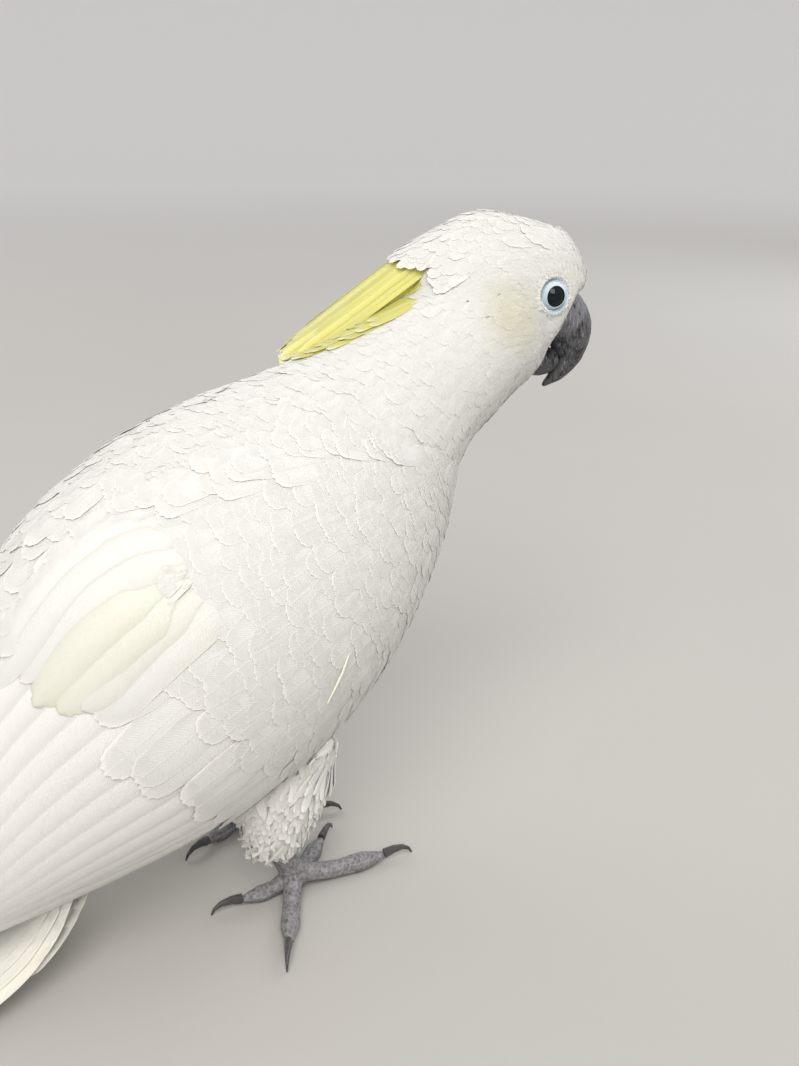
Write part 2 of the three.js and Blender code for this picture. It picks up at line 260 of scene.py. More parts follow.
def sheet_faces(m, n):
    """Faces of an open grid of m by n points."""
    return [(i * n + j, i * n + j + 1, (i + 1) * n + j + 1, (i + 1) * n + j)
            for i in range(m - 1) for j in range(n - 1)]


def tree_of(obj):
    """An object's surface, ready to be asked for its nearest place or for a ray's hit."""
    return BVHTree.FromObject(obj, bpy.context.evaluated_depsgraph_get())


def nearest_on(obj, points):
    """The places on an object nearest to some points, and its outward directions there."""
    tree = tree_of(obj)
    found = [tree.find_nearest(Vector(v)) for v in points]
    return tuple(np.array([list(f[k]) for f in found]) for k in (0, 1))


def piece(obj, slot, *nodes):
    """Attaches one finished piece of the bird to the root, and hides the CAD nodes that it stands for."""
    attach(obj, "root")
    if nodes:
        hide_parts(*nodes)
    print(f"{obj.name}: {sum(len(f.vertices) - 2 for f in obj.data.polygons):,} triangles")
    return obj


print("helpers ready")

# %% [markdown]
# ## Shader arithmetic
#
# A material's maths reads best as plain expressions. A small class wraps a node's output, so that
# a + b or 1 - a adds the node that does it, and one method adds any other node. The same class
# serves Geometry Nodes, which takes the same maths nodes.

# %% A class that writes node trees


class Wire:
    """A node's output, with arithmetic that adds nodes."""

    def __init__(self, tree, socket):
        self.tree, self.socket = tree, socket

    def joined(self, operation, first, second):
        vector = any(isinstance(v, Wire) and v.socket.type in {"VECTOR", "RGBA"} for v in (first, second))
        if vector and operation == "MULTIPLY" and not isinstance(second, tuple):
            if not (isinstance(second, Wire) and second.socket.type in {"VECTOR", "RGBA"}):
                return self.tree.add("ShaderNodeVectorMath", {0: first, "Scale": second}, operation="SCALE")
        kind = "ShaderNodeVectorMath" if vector else "ShaderNodeMath"
        return self.tree.add(kind, {0: first, 1: second}, operation=operation)

    def __add__(self, other):
        return self.joined("ADD", self, other)

    __radd__ = __add__

    def __sub__(self, other):
        return self.joined("SUBTRACT", self, other)

    def __rsub__(self, other):
        return self.joined("SUBTRACT", other, self)

    def __mul__(self, other):
        return self.joined("MULTIPLY", self, other)

    __rmul__ = __mul__

    def __pow__(self, other):
        return self.joined("POWER", self, other)


class Tree:
    """Adds nodes to a node tree."""

    def __init__(self, nodes, links):
        self.nodes, self.links = nodes, links

    def add(self, kind, inputs=(), out=0, **settings):
        node = self.nodes.new(kind)
        for key, value in settings.items():
            setattr(node, key, value)
        for key, value in dict(inputs).items():
            self.feed(node.inputs[key], value)
        return Wire(self, node.outputs[out]) if node.outputs else node

    def feed(self, socket, value):
        if isinstance(value, Wire):
            self.links.new(value.socket, socket)
        else:
            socket.default_value = value

    def ramp(self, value, low, high):
        """0 below low, 1 above high, smooth between."""
        return self.add("ShaderNodeMapRange", {0: value, 1: low, 2: high}, interpolation_type="SMOOTHSTEP")

    def mix(self, factor, a, b):
        """Colour a where factor is 0, b where it is 1."""
        a, b = ((*c, 1) if isinstance(c, tuple) and len(c) == 3 else c for c in (a, b))
        return self.add("ShaderNodeMix", {0: factor, 6: a, 7: b}, out=2, data_type="RGBA", clamp_factor=True)

    def noise(self, where, scale, detail=2.0):
        return self.add("ShaderNodeTexNoise", {"Vector": where, "Scale": scale, "Detail": detail})

    def distance(self, where, point):
        return self.add("ShaderNodeVectorMath", {0: where, 1: point}, out="Value", operation="DISTANCE")

    def attribute(self, name, out="Fac"):
        return self.add("ShaderNodeAttribute", out=out, attribute_name=name)

    def bump(self, height, distance, strength=1.0):
        return self.add("ShaderNodeBump", {"Height": height, "Distance": distance, "Strength": strength})


def material(name, look, **constants):
    """A material of one Principled shader. look(tree, where) returns the inputs that vary."""
    mat = bpy.data.materials.new(name)
    mat.use_nodes = True
    nodes = mat.node_tree.nodes
    nodes.clear()
    tree = Tree(nodes, mat.node_tree.links)
    shader = tree.add("ShaderNodeBsdfPrincipled")
    target = shader.socket.node
    for key, value in constants.items():
        target.inputs[key.replace("_", " ")].default_value = value
    where = tree.add("ShaderNodeTexCoord", out="Object")
    for key, value in look(tree, where).items():
        tree.feed(target.inputs[key.replace("_", " ")], value)
    tree.add("ShaderNodeOutputMaterial", {"Surface": shader})
    return mat


print("shader arithmetic ready")

# %% [markdown]
# ## White plumage
#
# The feathers are a warm, soft white. A faint yellow stain lies on the ear coverts, the feathers'
# bases are yellower and a little darker than their tips, the darkening a painted shade where the
# feather before overlaps them, and fine barbs run out from each shaft. The same colours go on the
# skin beneath, so that a gap between feathers doesn't show as a hole.

# %% Plumage materials
WHITE, CREAM, SHAFT_CREAM = (0.91, 0.90, 0.865), (0.88, 0.865, 0.80), (0.93, 0.91, 0.82)
YELLOW_BASE_AND_ROOT_SHADE = (0.80, 0.76, 0.62)
EAR_STAIN = (0.70, 0.68, 0.46)
LEMON, LIGHT_LEMON = (0.70, 0.67, 0.15), (0.74, 0.72, 0.27)
PALE_LEMON, PLUME_TIP = (0.87, 0.84, 0.52), (0.88, 0.86, 0.72)
BARE_BLUE, SHADED_BLUE = (0.61, 0.69, 0.725), (0.35, 0.44, 0.50)
EAR_AT = np.array([-16, 30, -10])
EAR_NEAR, EAR_FAR = 0.003, 0.022
BARB_RATE = 6000.0  # radians a metre, which makes a barb about every millimetre
VANE_SURFACE = {"Specular_IOR_Level": 0.25, "Subsurface_Weight": 0.35, "Subsurface_Scale": 0.003,
                "Subsurface_Radius": (1.0, 0.95, 0.85)}


def body_white(tree, where):
    """The white of the whole bird, stained at the ears."""
    cloud = tree.noise(where, 28.0, 3.0)
    white = tree.mix(cloud * 0.35, WHITE, CREAM)
    for side in SIDES.values():
        ear = tuple(place(head_point(mirrored(EAR_AT, side))))
        near = 1 - tree.ramp(tree.distance(where, ear) + (cloud - 0.5) * 0.010, EAR_NEAR, EAR_FAR)
        white = tree.mix(near * 0.7, white, EAR_STAIN)
    return white


def lemon(tree, where):
    return tree.mix(tree.noise(where, 90.0, 3.0) * 0.7, LEMON, LIGHT_LEMON)


def barbs(tree):
    """Fine slanted lines either side of the shaft, and the shaft itself, from the vane's own
    attributes: along 0 to 1, across -1 to 1, length in metres."""
    along, across = tree.attribute("along"), tree.attribute("across")
    size = tree.attribute("size", "Vector")
    length, width = (tree.add("ShaderNodeSeparateXYZ", {0: size}, out=axis) for axis in ("X", "Y"))
    side = tree.add("ShaderNodeMath", {0: across}, operation="ABSOLUTE")
    slanted = (along * length - side * width * 0.6) * BARB_RATE
    lines = tree.add("ShaderNodeMath", {0: slanted}, operation="SINE")
    shaft = 1 - tree.ramp(side, 0.02, 0.09)
    return along, side, lines, shaft


def vane_look(body, base, tip, tip_share):
    """Colours of a feather: its body, its base, its tip, and another that tint adds. The base is the
    feather's own deeper colour and also a painted shade at the root, where the feather before overlaps it.
    """
    def look(tree, where):
        along, side, lines, shaft = barbs(tree)
        colour = tree.mix(tree.attribute("tint"), body(tree, where), PALE_LEMON)
        # The base is deeper in colour, which is the feather's own, and darker: a painted shade at the root,
        # under the feather before.
        colour = tree.mix((1 - tree.ramp(along, 0.10, 0.70)) * 0.22, colour, base)
        colour = tree.mix(tree.ramp(along + side * 0.1, 0.82, 1.0) * tip_share, colour, tip)
        colour = tree.mix(shaft * 0.15, colour, SHAFT_CREAM)
        return {"Base_Color": colour, "Normal": tree.bump(lines * 0.5 + shaft * 1.5, 0.00006, 0.6)}
    return look


feather_white = material("white_feather", vane_look(body_white, YELLOW_BASE_AND_ROOT_SHADE, WHITE, 0.0),
                         Roughness=0.62, **VANE_SURFACE)
crest_yellow = material("lemon_plume", vane_look(lemon, LEMON, PLUME_TIP, 0.55),
                        Roughness=0.6, **VANE_SURFACE)


def skin_look(tree, where):
    """White where feathers grow, pale blue where it is bare round the eyes."""
    bare = tree.attribute("bare")
    fine = tree.noise(where, 900.0, 2.0)
    blue = tree.mix(tree.attribute("lid_shade"), BARE_BLUE, SHADED_BLUE)
    return {"Base_Color": tree.mix(bare, body_white(tree, where), blue),
            "Normal": tree.bump(fine, 0.00012, 0.5)}


skin_finish = material("skin", skin_look, Roughness=0.6, Specular_IOR_Level=0.3)
print("plumage materials ready")

# %% [markdown]
# ## One skin
#
# Under its feathers a bird is one smooth body. The CAD solids for the trunk, neck, head and thighs
# are copied, grown until they touch, and remeshed as one. The result is drawn in by the depth of
# the plumage there, deep on the body and thin on the face, and then smoothed. The brow is drawn
# back a little, which clears the root of the bill.

# %% Join the flesh into one skin
SKIN_NODES = ["trunk", "neck", "head", "thigh_left", "thigh_right"]
# How far the grown flesh is drawn in. The skin ends up about FLESH_GROW less deep than this inside
# the CAD solids, and smoothing fills the creases between them.
DEPTH_BODY, DEPTH_NECK, DEPTH_FACE, DEPTH_THIGH = 2.8, 2.2, 0.9, 2.4
SKIN_GRAIN, FLESH_GROW = 2.2, 0.6
BROW_BACK, BROW_UP = 4.2, 0.8


def node_copy(name, node, grow):
    """A merged copy of a CAD node's mesh, grown by some millimetres."""
    work = bmesh.new()
    work.from_mesh(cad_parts[node].data)
    bmesh.ops.remove_doubles(work, verts=work.verts, dist=0.02 * MM)
    bmesh.ops.triangulate(work, faces=work.faces)
    bmesh.ops.recalc_face_normals(work, faces=work.faces)
    mesh = bpy.data.meshes.new(name)
    work.to_mesh(mesh)
    work.free()
    set_points(mesh, points_of(mesh) + normals_of(mesh) * grow * MM)
    return new_object(name, mesh)


def join(objects, name):
    with bpy.context.temp_override(active_object=objects[0], selected_editable_objects=objects):
        bpy.ops.object.join()
    objects[0].name = objects[0].data.name = name
    return objects[0]


def remeshed(obj, grain):
    change = obj.modifiers.new("voxels", "REMESH")
    change.mode, change.voxel_size, change.use_smooth_shade = "VOXEL", grain * MM, True
    return settle(obj)


skin = join([node_copy(f"flesh_{n}", n, FLESH_GROW) for n in SKIN_NODES], "skin")
remeshed(skin, SKIN_GRAIN)
edges = edges_of(skin.data)
at = relax(points_of(skin.data), edges, 24)
set_points(skin.data, at)
h = in_head(at)
b = unplace(at)
face = smoothstep(-20, 6, h[:, 0]) * smoothstep(-60, -36, h[:, 2])
head_part = smoothstep(-45, -20, h[:, 0])
low_leg = 1 - smoothstep(60, 82, b[:, 2])
depth = DEPTH_BODY + (DEPTH_NECK - DEPTH_BODY) * smoothstep(40, 80, b[:, 0])
depth += (DEPTH_FACE - depth) * np.maximum(face, head_part * 0.75)
depth += (DEPTH_THIGH - depth) * low_leg * (b[:, 0] < 40)
at = at - normals_of(skin.data) * depth[:, None] * MM
at = relax(at, edges, 16)
h = in_head(at)
brow = smoothstep(22, 34, h[:, 0]) * (1 - smoothstep(0, 13, h[:, 2]))
at = place(head_point(h - np.column_stack([brow * BROW_BACK, 0 * brow, -brow * BROW_UP])))
set_points(skin.data, relax(at, edges, 8))
print("skin:", len(skin.data.vertices), "points")

# %% [markdown]
# ## Which way feathers lie
#
# Feathers all point away from the bill: back over the head, down the neck, and along the trunk to
# the tail. On the thighs they hang. One function gives that direction at any place, and every
# feather takes its heading from it.

# %% The lie of the plumage
BILL_ROOT = head_point([30, 0, -14])
AXIS_POINTS = np.array([[x, 0, z] for x, z in BODY_AXIS], float)


def lie(p):
    """The way feathers point, for places in the body's frame in millimetres."""
    p = np.atleast_2d(p)
    away = unit(p - BILL_ROOT)
    nearest = np.argmin(((p[:, None, [0, 2]] - AXIS_POINTS[None, :, [0, 2]]) ** 2).sum(-1), axis=1)
    back = unit(AXIS_POINTS[np.minimum(nearest + 1, len(AXIS_POINTS) - 1)]
                - AXIS_POINTS[np.maximum(nearest - 1, 0)])
    back = unit(back + [0, 0, -0.06])
    far = smoothstep(30, 95, np.linalg.norm(p - BILL_ROOT, axis=1))[:, None]
    way = unit(away * (1 - far) + back * far)
    for side in SIDES.values():
        off = p - head_point(mirrored(EYE_AT, side))
        near = 1 - smoothstep(9, 17, np.linalg.norm(off, axis=1))[:, None]
        way = unit(way + unit(off) * near * 2.2)
    leg = ((1 - smoothstep(62, 84, p[:, 2])) * (p[:, 0] > -60) * (p[:, 0] < 40))[:, None]
    return unit(way * (1 - leg) + np.array([-0.25, 0, -1.0]) * leg)


def body_uv(p):
    """A place on an unwrap of the body's own shape: along the axis, and round it."""
    p = np.atleast_2d(p)
    flat = ((p[:, None, [0, 2]] - AXIS_POINTS[None, :, [0, 2]]) ** 2).sum(-1)
    i = np.clip(np.argmin(flat, axis=1), 1, len(AXIS_POINTS) - 1)
    a, c = AXIS_POINTS[i - 1], AXIS_POINTS[i]
    step = c - a
    f = ((p - a) * step).sum(1) / (step * step).sum(1)
    v = (i - 1 + np.clip(f, -3, 3)) / (len(AXIS_POINTS) - 1)
    top = unit(np.cross(step, [0, 1, 0]))
    off = p - (a + step * np.clip(f, 0, 1)[:, None])
    around = np.arctan2(off[:, 1], (off * top).sum(1))
    return np.column_stack([0.5 + around / (2 * math.pi) * 0.96, 0.04 + 0.88 * np.clip(v, -0.02, 1.02)])


print("lie at the nape:", lie(np.array([[80.0, 0, 260]])).round(2))

# %% [markdown]
# ## A vane to repeat
#
# A small feather is a thin, closed leaf: narrow at the quill, rounded at the tip, where its barbs
# part into a few fingers. It is made once, a unit long and a unit wide, and remembers how far
# along and across each of its points is. All contour feathers are copies of it.

# %% Build the vane
TIP_NOTCH = 0.10


def sharpen(mesh, rim):
    """Marks the edges between rim points as sharp, so that a leaf's thin rim isn't shaded round."""
    ends = edges_of(mesh)
    sharp = rim[ends[:, 0]] & rim[ends[:, 1]]
    mesh.attributes.new("sharp_edge", "BOOLEAN", "EDGE").data.foreach_set("value", sharp)


def vane(name, rows, fringe, across=3):
    """A closed leaf from x = 0 to 1 and y = -0.5 to 0.5. rows: (along, half width). fringe: fingers."""
    rows = np.asarray(rows, float)
    grid = np.linspace(-1, 1, across)
    points, along, side, top = [], [], [], []

    def put(x, y, z):
        points.append((x, y, 0))
        along.append(x)
        side.append(y * 2)
        top.append(z)
        return len(points) - 1

    upper, lower = [], []
    for x, half in rows:
        line = [put(x, half * g / 2, 0.0 if abs(g) == 1 else 1.0) for g in grid]
        under = [line[0], *(put(x, half * g / 2, -1.0) for g in grid[1:-1]), line[-1]]
        upper.append(line)
        lower.append(under)
    faces = []
    for i in range(len(rows) - 1):
        for j in range(across - 1):
            faces.append((upper[i][j], upper[i + 1][j], upper[i + 1][j + 1], upper[i][j + 1]))
            faces.append((lower[i][j], lower[i][j + 1], lower[i + 1][j + 1], lower[i + 1][j]))
    # The tip: an arc of points, every other one drawn back a little between two fingers.
    x0, half = rows[-1]
    line, under = upper[-1], lower[-1]
    arc = []
    count = fringe * 2 + 1
    for k in range(1, count + 1):
        angle = math.pi * (k / (count + 1)) - math.pi / 2
        reach = (1 - x0) * (1.0 if k % 2 else 1 - TIP_NOTCH)
        arc.append(put(x0 + reach * math.cos(angle) ** 0.8, half * math.sin(angle) / 2, 0.0))
    for side_line, flip in ((line, False), (under, True)):
        ring = [side_line[0], *arc, side_line[-1]]
        hub = side_line[across // 2]
        for a, c in zip(ring, ring[1:]):
            if hub not in (a, c):
                faces.append((hub, c, a) if flip else (hub, a, c))
    mesh = bpy.data.meshes.new(name)
    mesh.from_pydata(points, [], faces)
    mesh.shade_smooth()
    store(mesh, "along", along)
    store(mesh, "across", side)
    store(mesh, "top", top)
    sharpen(mesh, np.abs(top) < 0.5)
    return new_object(name, mesh)


contour_vane = vane("contour_vane", [(0, 0.25), (0.3, 0.85), (0.62, 1.0), (0.82, 0.86)], 4)
face_vane = vane("face_vane", [(0, 0.4), (0.45, 1.0), (0.78, 0.8)], 2)
print("a contour feather has", sum(len(f.vertices) - 2 for f in contour_vane.data.polygons), "triangles")

# %% [markdown]
# ## Laying feathers on a surface
#
# Thousands of copies can't be bent by hand. A Geometry Nodes tree puts a vane on each root, turns
# it to its heading, and makes the copies real. Then it drops every point onto the surface below
# and lifts it by the feather's own rise and arch, so that each vane hugs the body, clear of the
# one before it. The tree also gives each feather its patch of the coat's map, at its root.

# %% The tree that lays feathers
PATCH = 0.003


def laying_tree():
    group = bpy.data.node_groups.new("lay_feathers", "GeometryNodeTree")
    sockets = group.interface
    sockets.new_socket("Geometry", in_out="INPUT", socket_type="NodeSocketGeometry")
    for name, kind in (("Vane", "NodeSocketObject"), ("Surface", "NodeSocketObject"),
                       ("Finish", "NodeSocketMaterial"), ("Thickness", "NodeSocketFloat")):
        sockets.new_socket(name, in_out="INPUT", socket_type=kind)
    sockets.new_socket("Geometry", in_out="OUTPUT", socket_type="NodeSocketGeometry")
    tree = Tree(group.nodes, group.links)
    entry = group.nodes.new("NodeGroupInput")
    given = {s.name: Wire(tree, s) for s in entry.outputs if s.name}

    def named(name, kind="FLOAT"):
        return tree.add("GeometryNodeInputNamedAttribute", {"Name": name}, out="Attribute", data_type=kind)

    def surface(field):
        return tree.add("GeometryNodeSampleNearestSurface", {"Mesh": ground, "Value": field},
                        data_type="FLOAT_VECTOR")

    source = tree.add("GeometryNodeObjectInfo", {"Object": given["Vane"]}, out="Geometry")
    ground = tree.add("GeometryNodeObjectInfo", {"Object": given["Surface"]}, out="Geometry")
    up, aim = named("up", "FLOAT_VECTOR"), named("aim", "FLOAT_VECTOR")
    turn = tree.add("FunctionNodeAxesToRotation", {"Primary Axis": up, "Secondary Axis": aim},
                    primary_axis="Z", secondary_axis="X")
    copies = tree.add("GeometryNodeInstanceOnPoints",
                      {"Points": given["Geometry"], "Instance": source, "Rotation": turn,
                       "Scale": named("size", "FLOAT_VECTOR")})
    real = tree.add("GeometryNodeRealizeInstances", {"Geometry": copies})
    foot = surface(tree.add("GeometryNodeInputPosition"))
    out = surface(named("way_up", "FLOAT_VECTOR"))
    out = tree.add("ShaderNodeVectorMath", {0: out}, operation="NORMALIZE")
    along, across = named("along"), named("across")
    lift = (named("sit") + named("rise") * along + named("curl") * along ** 4.0
            + named("arch") * (1 - across * across) * tree.ramp(along, -0.4, 0.4)
            + named("top") * given["Thickness"] * (1.15 - along))
    laid = tree.add("GeometryNodeSetPosition", {"Geometry": real, "Position": foot + out * lift})
    root = named("root_uv", "FLOAT_VECTOR")
    patch = tree.add("ShaderNodeCombineXYZ", {0: across * (PATCH / 2), 1: along * PATCH})
    mapped = tree.add("GeometryNodeStoreNamedAttribute",
                      {"Geometry": laid, "Name": "OFBake", "Value": root + patch},
                      data_type="FLOAT2", domain="CORNER")
    done = tree.add("GeometryNodeSetMaterial", {"Geometry": mapped, "Material": given["Finish"]})
    group.nodes.new("NodeGroupOutput")
    tree.links.new(done.socket, group.nodes["Group Output"].inputs[0])
    return group


LAYING = laying_tree()


def lay(name, roots, template, surface, finish, thickness):
    """Feathers on a surface, as one mesh object. roots: arrays by name, one row a feather."""
    mesh = bpy.data.meshes.new(name)
    mesh.from_pydata(np.asarray(roots["at"], float).tolist(), [], [])
    for key in ("aim", "up", "size", "root_uv", "sit", "rise", "curl", "arch", "tint"):
        store(mesh, key, roots[key])
    obj = new_object(name, mesh)
    change = obj.modifiers.new("laying", "NODES")
    change.node_group = LAYING
    values = {"Vane": template, "Surface": surface, "Finish": finish, "Thickness": thickness * MM}
    for item in LAYING.interface.items_tree:
        if item.in_out == "INPUT" and item.name in values:
            change[item.identifier] = values[item.name]
    settle(obj)
    for key in ("up", "aim", "root_uv", "sit", "rise", "curl", "arch", "top"):
        if key in obj.data.attributes:
            obj.data.attributes.remove(obj.data.attributes[key])
    return obj


def remember_up(obj):
    """Keeps a surface's smooth normals where the tree can read them."""
    store(obj.data, "way_up", normals_of(obj.data))


remember_up(skin)
print("laying tree has", len(LAYING.nodes), "nodes")

# %% [markdown]
# ## Where feathers grow
#
# Roots are spread evenly, closer where the feathers are small. Darts are thrown at the surface and
# one is kept if no kept one is too near.

# %% Spread the roots
DARTS_A_ROOT, CLOSEST_SHARE = 3.2, 0.82


def crowded(darts, i, key, closest, grid):
    """Whether a kept dart in this cell or the next ones is closer to dart i than allowed."""
    x, y, z = key
    for dx, dy, dz in product((-1, 0, 1), repeat=3):
        for q in grid.get((x + dx, y + dy, z + dz), ()):
            d = darts[i] - darts[q]
            if d[0] * d[0] + d[1] * d[1] + d[2] * d[2] < closest:
                return True
    return False


def spread(obj, gap, seed, keep):
    """Points on a mesh about gap(p) millimetres apart, with normals, where keep(p) is 1. p is in
    the body's frame."""
    rng = np.random.default_rng(seed)
    mesh = obj.data
    mesh.calc_loop_triangles()
    corners = np.empty(len(mesh.loop_triangles) * 3, dtype=np.int32)
    mesh.loop_triangles.foreach_get("vertices", corners)
    corners = corners.reshape(-1, 3)
    at, out = points_of(mesh), normals_of(mesh)
    a, b, c = (at[corners[:, k]] for k in range(3))
    area = np.linalg.norm(np.cross(b - a, c - a), axis=1) / 2
    middle = unplace((a + b + c) / 3)
    spacing = gap(middle)
    weight = area / (spacing * MM) ** 2 * keep(middle)
    total = int(weight.sum() * DARTS_A_ROOT)
    pick = rng.choice(len(area), total, p=weight / weight.sum())
    u, v = rng.random(total), rng.random(total)
    over = u + v > 1
    u[over], v[over] = 1 - u[over], 1 - v[over]
    w = np.column_stack([1 - u - v, u, v])
    darts = (at[corners[pick]] * w[:, :, None]).sum(1)
    normal = unit((out[corners[pick]] * w[:, :, None]).sum(1))
    near = gap(unplace(darts)) * MM * CLOSEST_SHARE
    cell = near.max()
    kept, grid = [], {}
    for i, key in enumerate(np.floor(darts / cell).astype(int)):
        if not crowded(darts, i, key, near[i] ** 2, grid):
            grid.setdefault(tuple(key), []).append(i)
            kept.append(i)
    return darts[kept], normal[kept]


def turned(way, normal, angle):
    """way laid flat on the surface and turned about its normal."""
    flat = unit(way - normal * (way * normal).sum(1, keepdims=True))
    side = np.cross(normal, flat)
    return flat * np.cos(angle)[:, None] + side * np.sin(angle)[:, None]


def plumage(name, at, normal, length, width, sit, rise, arch, seed, curl=0.0, stray=0.12,
            way=None, template=None, surface=None, finish=None, thickness=0.1):
    """Lays feathers of the given lengths (mm) with their roots at the given places."""
    rng = np.random.default_rng(seed)
    n = len(at)
    one = np.ones(n)
    p = unplace(at)
    lean = rng.normal(0, stray, n)
    vary = 1 + rng.normal(0, 0.1, n)
    roots = {
        "at": at,
        "up": normal,
        "aim": turned(lie(p) if way is None else way, normal, lean),
        "size": np.column_stack([length * vary * MM, width * vary * MM, one]),
        "root_uv": np.column_stack([body_uv(p), one * 0]),
        "sit": (sit + rng.random(n) * 0.25) * MM,
        "rise": rise * (1 + rng.normal(0, 0.12, n)) * MM,
        "curl": curl * rng.random(n) * MM * one,
        "arch": arch * one * MM,
        "tint": one * 0,
    }
    return lay(name, roots, template or contour_vane, surface or skin, finish or feather_white, thickness)


print("spreading ready")

# %% [markdown]
# ## Camera, floor and light
#
# The camera looks down from behind the bird's right shoulder. Daylight comes broad and soft, from
# one large panel to the side and two weaker ones across and behind, so that white feathers still
# show their edges. The floor is plain and pale, and it is painted lighter towards its far edge and
# up its sweep, a painted light where the lamps reach it less.

# %% Camera, floor and lights
CAMERA_AT = (-212.454, -433.363, 345.353)
CAMERA_BEARING, CAMERA_TILT = math.radians(34), math.radians(20.7)
LENS, SENSOR = 40.53, 36
AIM_AT = (0, 0, 140)
# name, place and size in metres, power in watts, colour
LIGHTS = [("window_light", (-0.9, -1.5, 1.9), 1.6, 56, (1.0, 0.97, 0.93)),
          ("far_light", (1.7, 0.4, 1.1), 1.2, 9, (0.92, 0.96, 1.0)),
          ("back_light", (-0.6, 1.6, 1.5), 1.2, 10, (1.0, 0.98, 0.95))]
SKY_COLOUR, SKY_STRENGTH = (0.98, 0.98, 1.0, 1), 0.73
# The far floor colour is a painted light, for where the lamps reach the floor and its sweep less.
FLOOR_LIGHT, FLOOR_DARK, FLOOR_FAR_PAINTED_LIGHT = (0.44, 0.425, 0.40), (0.39, 0.378, 0.358), (0.80, 0.785, 0.76)
FLOOR_RADIUS, SWEEP_RADIUS = 4.5, 3


def make_camera():
    cam = bpy.data.cameras.new("camera")
    cam.lens, cam.sensor_width, cam.sensor_fit = LENS, SENSOR, "AUTO"
    cam.clip_start = 0.01
    obj = new_object("camera", cam)
    obj.location = place(CAMERA_AT)
    obj.rotation_euler = (math.pi / 2 - CAMERA_TILT, 0, -CAMERA_BEARING)
    bpy.context.scene.camera = obj


def panel_light(name, at, size, power, colour):
    """A square panel of light, aimed at the middle of the bird."""
    lamp = bpy.data.lights.new(name, "AREA")
    lamp.shape, lamp.size, lamp.energy, lamp.color = "SQUARE", size, power, colour
    obj = new_object(name, lamp)
    obj.location = at
    aim = Vector(place(AIM_AT)) - obj.location
    obj.rotation_euler = aim.to_track_quat("-Z", "Y").to_euler()


def floor_look(tree, where):
    cloud = tree.noise(where, 3.0, 3.0)
    grain = tree.noise(where, 260.0, 2.0)
    near = tree.mix(cloud * 0.5, FLOOR_LIGHT, FLOOR_DARK)
    # Painted light: from 0.7 m out and up the sweep the floor turns lighter, where the lamps light it less.
    far = tree.ramp(tree.distance(where, (0, 0, 0)), 0.7, FLOOR_RADIUS)
    return {"Base_Color": tree.mix(far, near, FLOOR_FAR_PAINTED_LIGHT),
            "Normal": tree.bump(grain, 0.0002, 0.3)}


def studio_floor():
    """A round floor whose far edge sweeps up, so that no horizon shows."""
    sides = 96
    turn = np.arange(sides) * 2 * math.pi / sides
    profile = [(0.5, 0), (FLOOR_RADIUS, 0)]
    profile += [(FLOOR_RADIUS + SWEEP_RADIUS * math.sin(a), SWEEP_RADIUS * (1 - math.cos(a)))
                for a in np.linspace(0.1, 1.4, 14)]
    ring = np.array([[(r * math.cos(a), r * math.sin(a), z) for a in turn] for r, z in profile])
    points = np.vstack([ring.reshape(-1, 3), [(0, 0, 0)]])
    faces = [(a, d, c, b) for a, b, c, d in ring_faces(len(profile), sides)]
    faces += [(len(points) - 1, j, (j + 1) % sides) for j in range(sides)]
    return mesh_object("floor", points, faces)


make_camera()
bpy.context.scene.view_settings.view_transform = "Standard"
for light in LIGHTS:
    panel_light(*light)
world = bpy.data.worlds.new("soft_day")
bpy.context.scene.world = world
world.use_nodes = True
sky = world.node_tree.nodes["Background"]
sky.inputs["Color"].default_value = SKY_COLOUR
sky.inputs["Strength"].default_value = SKY_STRENGTH
floor = studio_floor()
floor.data.materials.append(material("pale_floor", floor_look, Roughness=0.8))
print("camera at", [round(c, 3) for c in bpy.context.scene.camera.location])

# %% [markdown]
# ## Eyes and the bare skin round them
#
# A cockatoo's eye sits in a ring of bare skin, pale blue and finely wrinkled. The eyeball is a
# glossy dark sphere. The ring is a grid in rounds and spokes: its inner edge hugs the ball as the
# lids do, and its outer edge dips under the face feathers. It is joined to the skin.

# %% Eyes and lids
LID_INNER = (4.1, 4.6)
LID_OUTER = (9.2, 9.0)
LID_ROUNDS, LID_SPOKES = 18, 72
CORNEA, HOLLOW, RING_OVER_SKIN, RING_DIP = 0.25, 1.0, 1.1, 1.7
EYE_BLACK, EYE_SHEEN = (0.003, 0.004, 0.006), (0.007, 0.010, 0.013)


def press_eye_hollows():
    """Draws the skin in a little round each eye."""
    at = points_of(skin.data)
    h = in_head(at)
    push = np.zeros(len(at))
    for side in SIDES.values():
        off = h - mirrored(EYE_AT, side)
        r = np.hypot(off[:, 0], off[:, 2])
        push = np.maximum(push, (1 - smoothstep(6.0, 9.8, r)) * (h[:, 1] * side > 8))
    set_points(skin.data, at - normals_of(skin.data) * (push * HOLLOW * MM)[:, None])


